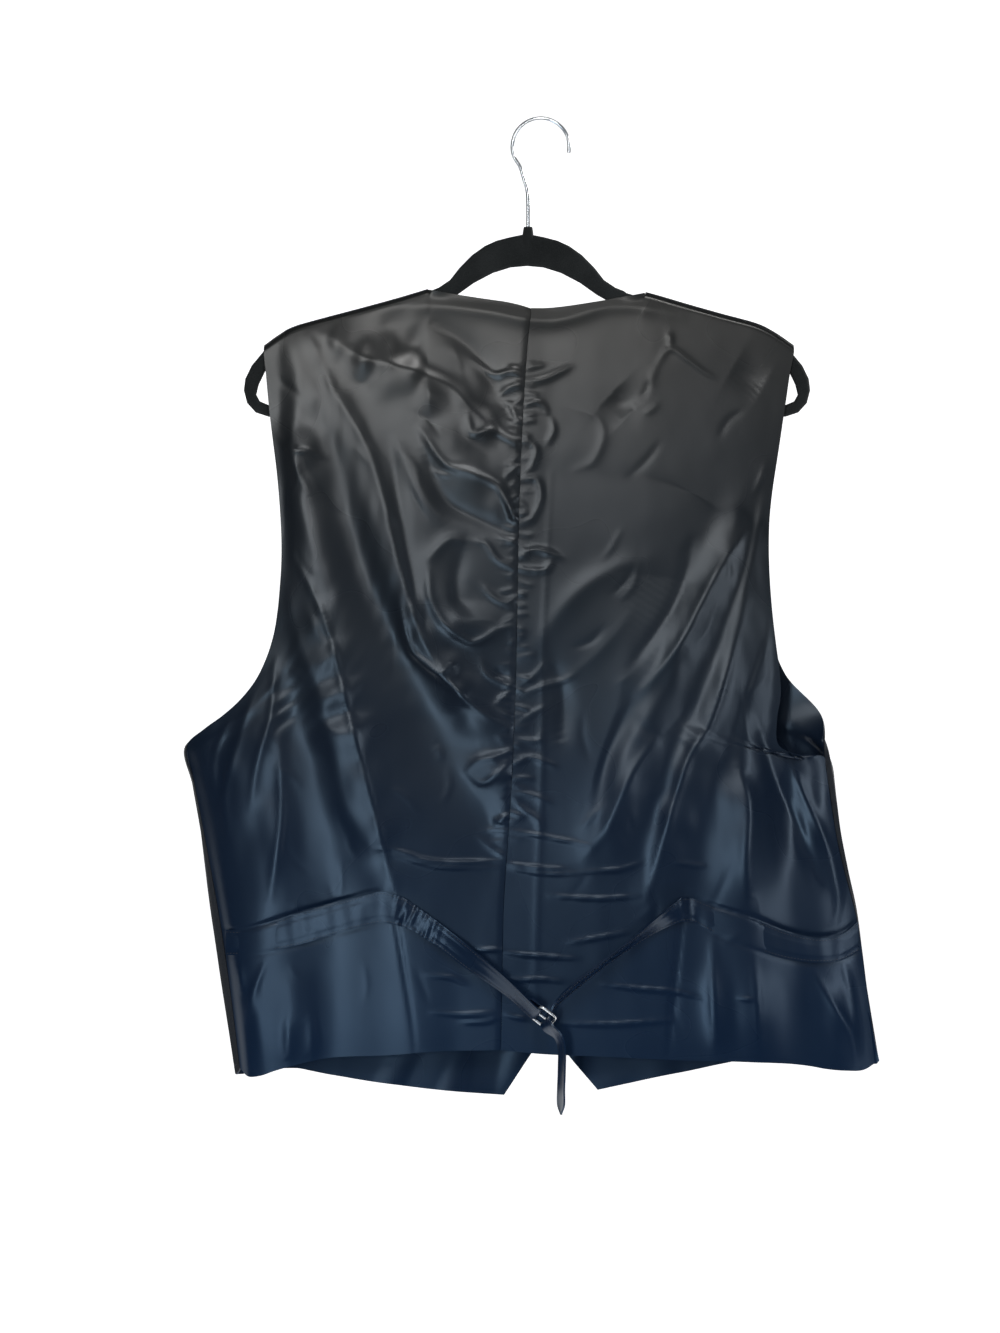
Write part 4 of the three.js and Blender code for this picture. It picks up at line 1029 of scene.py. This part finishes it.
# Even places along a line on a cloth, with directions: points, along, out
def spaced(points, normals, pitch, stop=1.0):
    place = distances(points)
    at = np.arange(pitch / 2, place[-1] * stop, pitch)
    along = unit(read_at(at + 1, place, points) - read_at(at - 1, place, points))
    return read_at(at, place, points), along, unit(read_at(at, place, normals))


# The line on a cloth that runs beside one of its long edges, some way in
def inset_line(cloth, last, inset):
    rows = cloth.grid[:, ::-1] if last else cloth.grid
    outs = cloth.normals[:, ::-1] if last else cloth.normals
    points, out = [], []
    for row, normal in zip(rows[:, :24], outs[:, :24]):
        place = distances(row)
        points.append(read_at(inset, place, row))
        out.append(read_at(inset, place, normal))
    return np.array(points), unit(np.array(out))


# Short stitches of thread at given places
def stitch_points(where, along, out, length, radius):
    across = np.cross(out, along)
    stations = ((-0.5, 0.3), (-0.3, 1.0), (0.3, 1.0), (0.5, 0.3))
    rings = []
    for place, share in stations:
        for k in range(6):
            turn = math.pi * k / 3
            side = across * math.cos(turn) + out * math.sin(turn) * 0.7
            rings.append(where + along * place * length + side * radius * share + out * radius * 0.4)
    return np.stack(rings, 1)


# Faces of one stitch: three bands of six sides, and two at each end
STITCH_FACES = np.array(
    [
        (6 * s + k, 6 * s + (k + 1) % 6, 6 * s + 6 + (k + 1) % 6, 6 * s + 6 + k)
        for s in range(3)
        for k in range(6)
    ]
    + [(3, 2, 1, 0), (5, 4, 3, 0), (18, 19, 20, 21), (18, 21, 22, 23)]
)


def stitches(name, runs):
    points = np.concatenate([stitch_points(*run) for run in runs])
    faces = STITCH_FACES[None] + 24 * np.arange(len(points))[:, None, None]
    return add_piece(name, quad_mesh(name, points.reshape(-1, 3) * MM, faces.reshape(-1, 4)), THREAD)


def edge_run(cloth, last, inset, stitch, stop=1.0):
    pitch, length, radius = stitch
    return (*spaced(*inset_line(cloth, last, inset), pitch, stop), length, radius)


def hem_run(cloth, up, stitch):
    pitch, length, radius = stitch
    row = -1 - max(1, round(up / FRONT_ROW_STEP))
    return (*spaced(cloth.grid[row], cloth.normals[row], pitch), length, radius)


for side, front in (("left", LEFT_FRONT), ("right", RIGHT_FRONT)):
    stitches(f"front_{side}_edge_stitches", [
        edge_run(front, False, FRONT_INSET, FRONT_STITCH),
        edge_run(front, True, FRONT_INSET, FRONT_STITCH, 0.5),
        hem_run(front, FRONT_INSET, FRONT_STITCH),
    ])
for side, strap in (("left", LEFT_STRAP), ("right", RIGHT_STRAP)):
    stitches(f"strap_{side}_stitches", [
        edge_run(strap, last, STRAP_INSET, STRAP_STITCH) for last in (False, True)
    ])


# A buttonhole worked in thread on the left front, from under its button and away from the edge
def buttonhole(k):
    centre, _, half = own_frame(f"button_{k}")
    gap = np.linalg.norm(LEFT_FRONT.grid - centre, axis=-1)
    row, column = np.unravel_index(gap.argmin(), gap.shape)
    line = LEFT_FRONT.grid[row, column:column + 10]
    out = LEFT_FRONT.normals[row, column]
    along = unit(line[-1] - line[0])
    side = np.cross(out, along)
    turn = np.linspace(0, 2 * math.pi, 60, endpoint=False)
    reach, wide = half[0] * 0.95, 1.5
    middle = read_at(half[0] * 0.9, distances(line), line) + out * 0.2
    long = squared(np.cos(turn), 0.7)[:, None] * reach
    short = squared(np.sin(turn), 0.5)[:, None] * wide
    where = middle + long * along + short * side
    outward = unit(np.sign(long) * (np.abs(long) > reach * 0.85) * along + short * side)
    return (where, outward, np.broadcast_to(out, where.shape), 2.0, 0.45)


stitches("buttonholes", [buttonhole(k) for k in range(1, 6)])


# Floor and backdrop in one, well below and behind the garment
def make_stage():
    floor, wall, cove, half = -1.45, -8.0, 1.5, 9.0
    section = [(0.6, floor)]
    for k in range(13):
        angle = math.radians(90 * k / 12)
        section.append((wall + cove * (1 - math.sin(angle)), floor + cove * (1 - math.cos(angle))))
    section.append((wall, 4.0))
    points = np.array([(x, y, z) for y, z in section for x in (-half, half)])
    faces = np.array([(2 * k, 2 * k + 1, 2 * k + 3, 2 * k + 2) for k in range(len(section) - 1)])
    mesh = quad_mesh("studio_floor", points, faces)
    material, shader = new_material("studio_paper", 0.9)
    grain = noise(material, place_node(material), 30.0, 2.0)
    coloured(material, shader, grain, PAPER_STOPS)
    shader.inputs["Emission Color"].default_value = (1, 1, 1, 1)
    shader.inputs["Emission Strength"].default_value = 0.8
    mesh.materials.append(material)
    stage = bpy.data.objects.new("studio_floor", mesh)
    bpy.context.scene.collection.objects.link(stage)


# Dim soft light from all round, and plain white where the camera sees past the floor
def make_world():
    world = bpy.data.worlds.new("studio")
    world.use_nodes = True
    nodes = world.node_tree.nodes
    dim = nodes["Background"]
    dim.inputs["Color"].default_value = (0.80, 0.90, 1.0, 1)
    dim.inputs["Strength"].default_value = 0.06
    white = nodes.new("ShaderNodeBackground")
    white.inputs["Color"].default_value = (1, 1, 1, 1)
    seen = nodes.new("ShaderNodeLightPath")
    mix = nodes.new("ShaderNodeMixShader")
    links = world.node_tree.links
    links.new(seen.outputs["Is Camera Ray"], mix.inputs["Fac"])
    links.new(dim.outputs["Background"], mix.inputs[1])
    links.new(white.outputs["Background"], mix.inputs[2])
    links.new(mix.outputs["Shader"], nodes["World Output"].inputs["Surface"])
    bpy.context.scene.world = world


def add_light(name, place, target, size, power, colour):
    data = bpy.data.lights.new(name, "AREA")
    data.shape = "RECTANGLE"
    data.size, data.size_y = size
    data.energy = power
    data.color = colour
    light = bpy.data.objects.new(name, data)
    light.visible_camera = False
    light.location = place
    light.rotation_euler = (Vector(target) - Vector(place)).to_track_quat("-Z", "Y").to_euler()
    bpy.context.scene.collection.objects.link(light)


def make_camera():
    height = PHOTO_HEIGHT * PHOTO_MM_PER_PIXEL * MM
    data = bpy.data.cameras.new("camera")
    data.lens = LENS
    data.sensor_width = SENSOR
    camera = bpy.data.objects.new("camera", data)
    centre = Vector(PHOTO_CENTRE) * MM
    camera.location = centre + Vector((0, height * LENS / SENSOR, 0))
    camera.rotation_euler = (math.radians(90), 0, math.radians(180))
    bpy.context.scene.collection.objects.link(camera)
    bpy.context.scene.camera = camera


WHITE = (1.0, 1.0, 1.0)
# Each light: its name, place, target, width and height, power and colour
LIGHTS = [
    ("key_high", (0.55, 2.2, 0.25), (0.0, 0.0, -0.25), (0.28, 0.8), 6.8, (0.97, 0.99, 1.0)),
    ("key_low", (0.55, 2.2, -0.85), (0.0, 0.0, -0.65), (0.28, 0.9), 7.0, (0.66, 0.84, 1.0)),
    ("top", (-0.25, 1.5, 1.1), (0.0, 0.0, -0.40), (0.9, 0.3), 12, WHITE),
    ("high_right", (0.10, 3.0, 0.52), (-0.05, 0.0, -0.25), (0.4, 0.3), 4.6, WHITE),
    ("side", (-1.3, 1.7, -0.4), (0.0, 0.0, -0.50), (0.2, 1.0), 5, (0.85, 0.92, 1.0)),
    ("front_key", (-1.8, -1.2, 0.5), (0.0, 0.0, -0.45), (0.4, 0.6), 46, WHITE),
    ("front_fill", (0.9, -1.8, 0.0), (0.0, 0.0, -0.45), (0.9, 1.2), 8, WHITE),
]

make_stage()
for light in LIGHTS:
    add_light(*light)
make_world()
bpy.context.scene.view_settings.view_transform = "Standard"
make_camera()
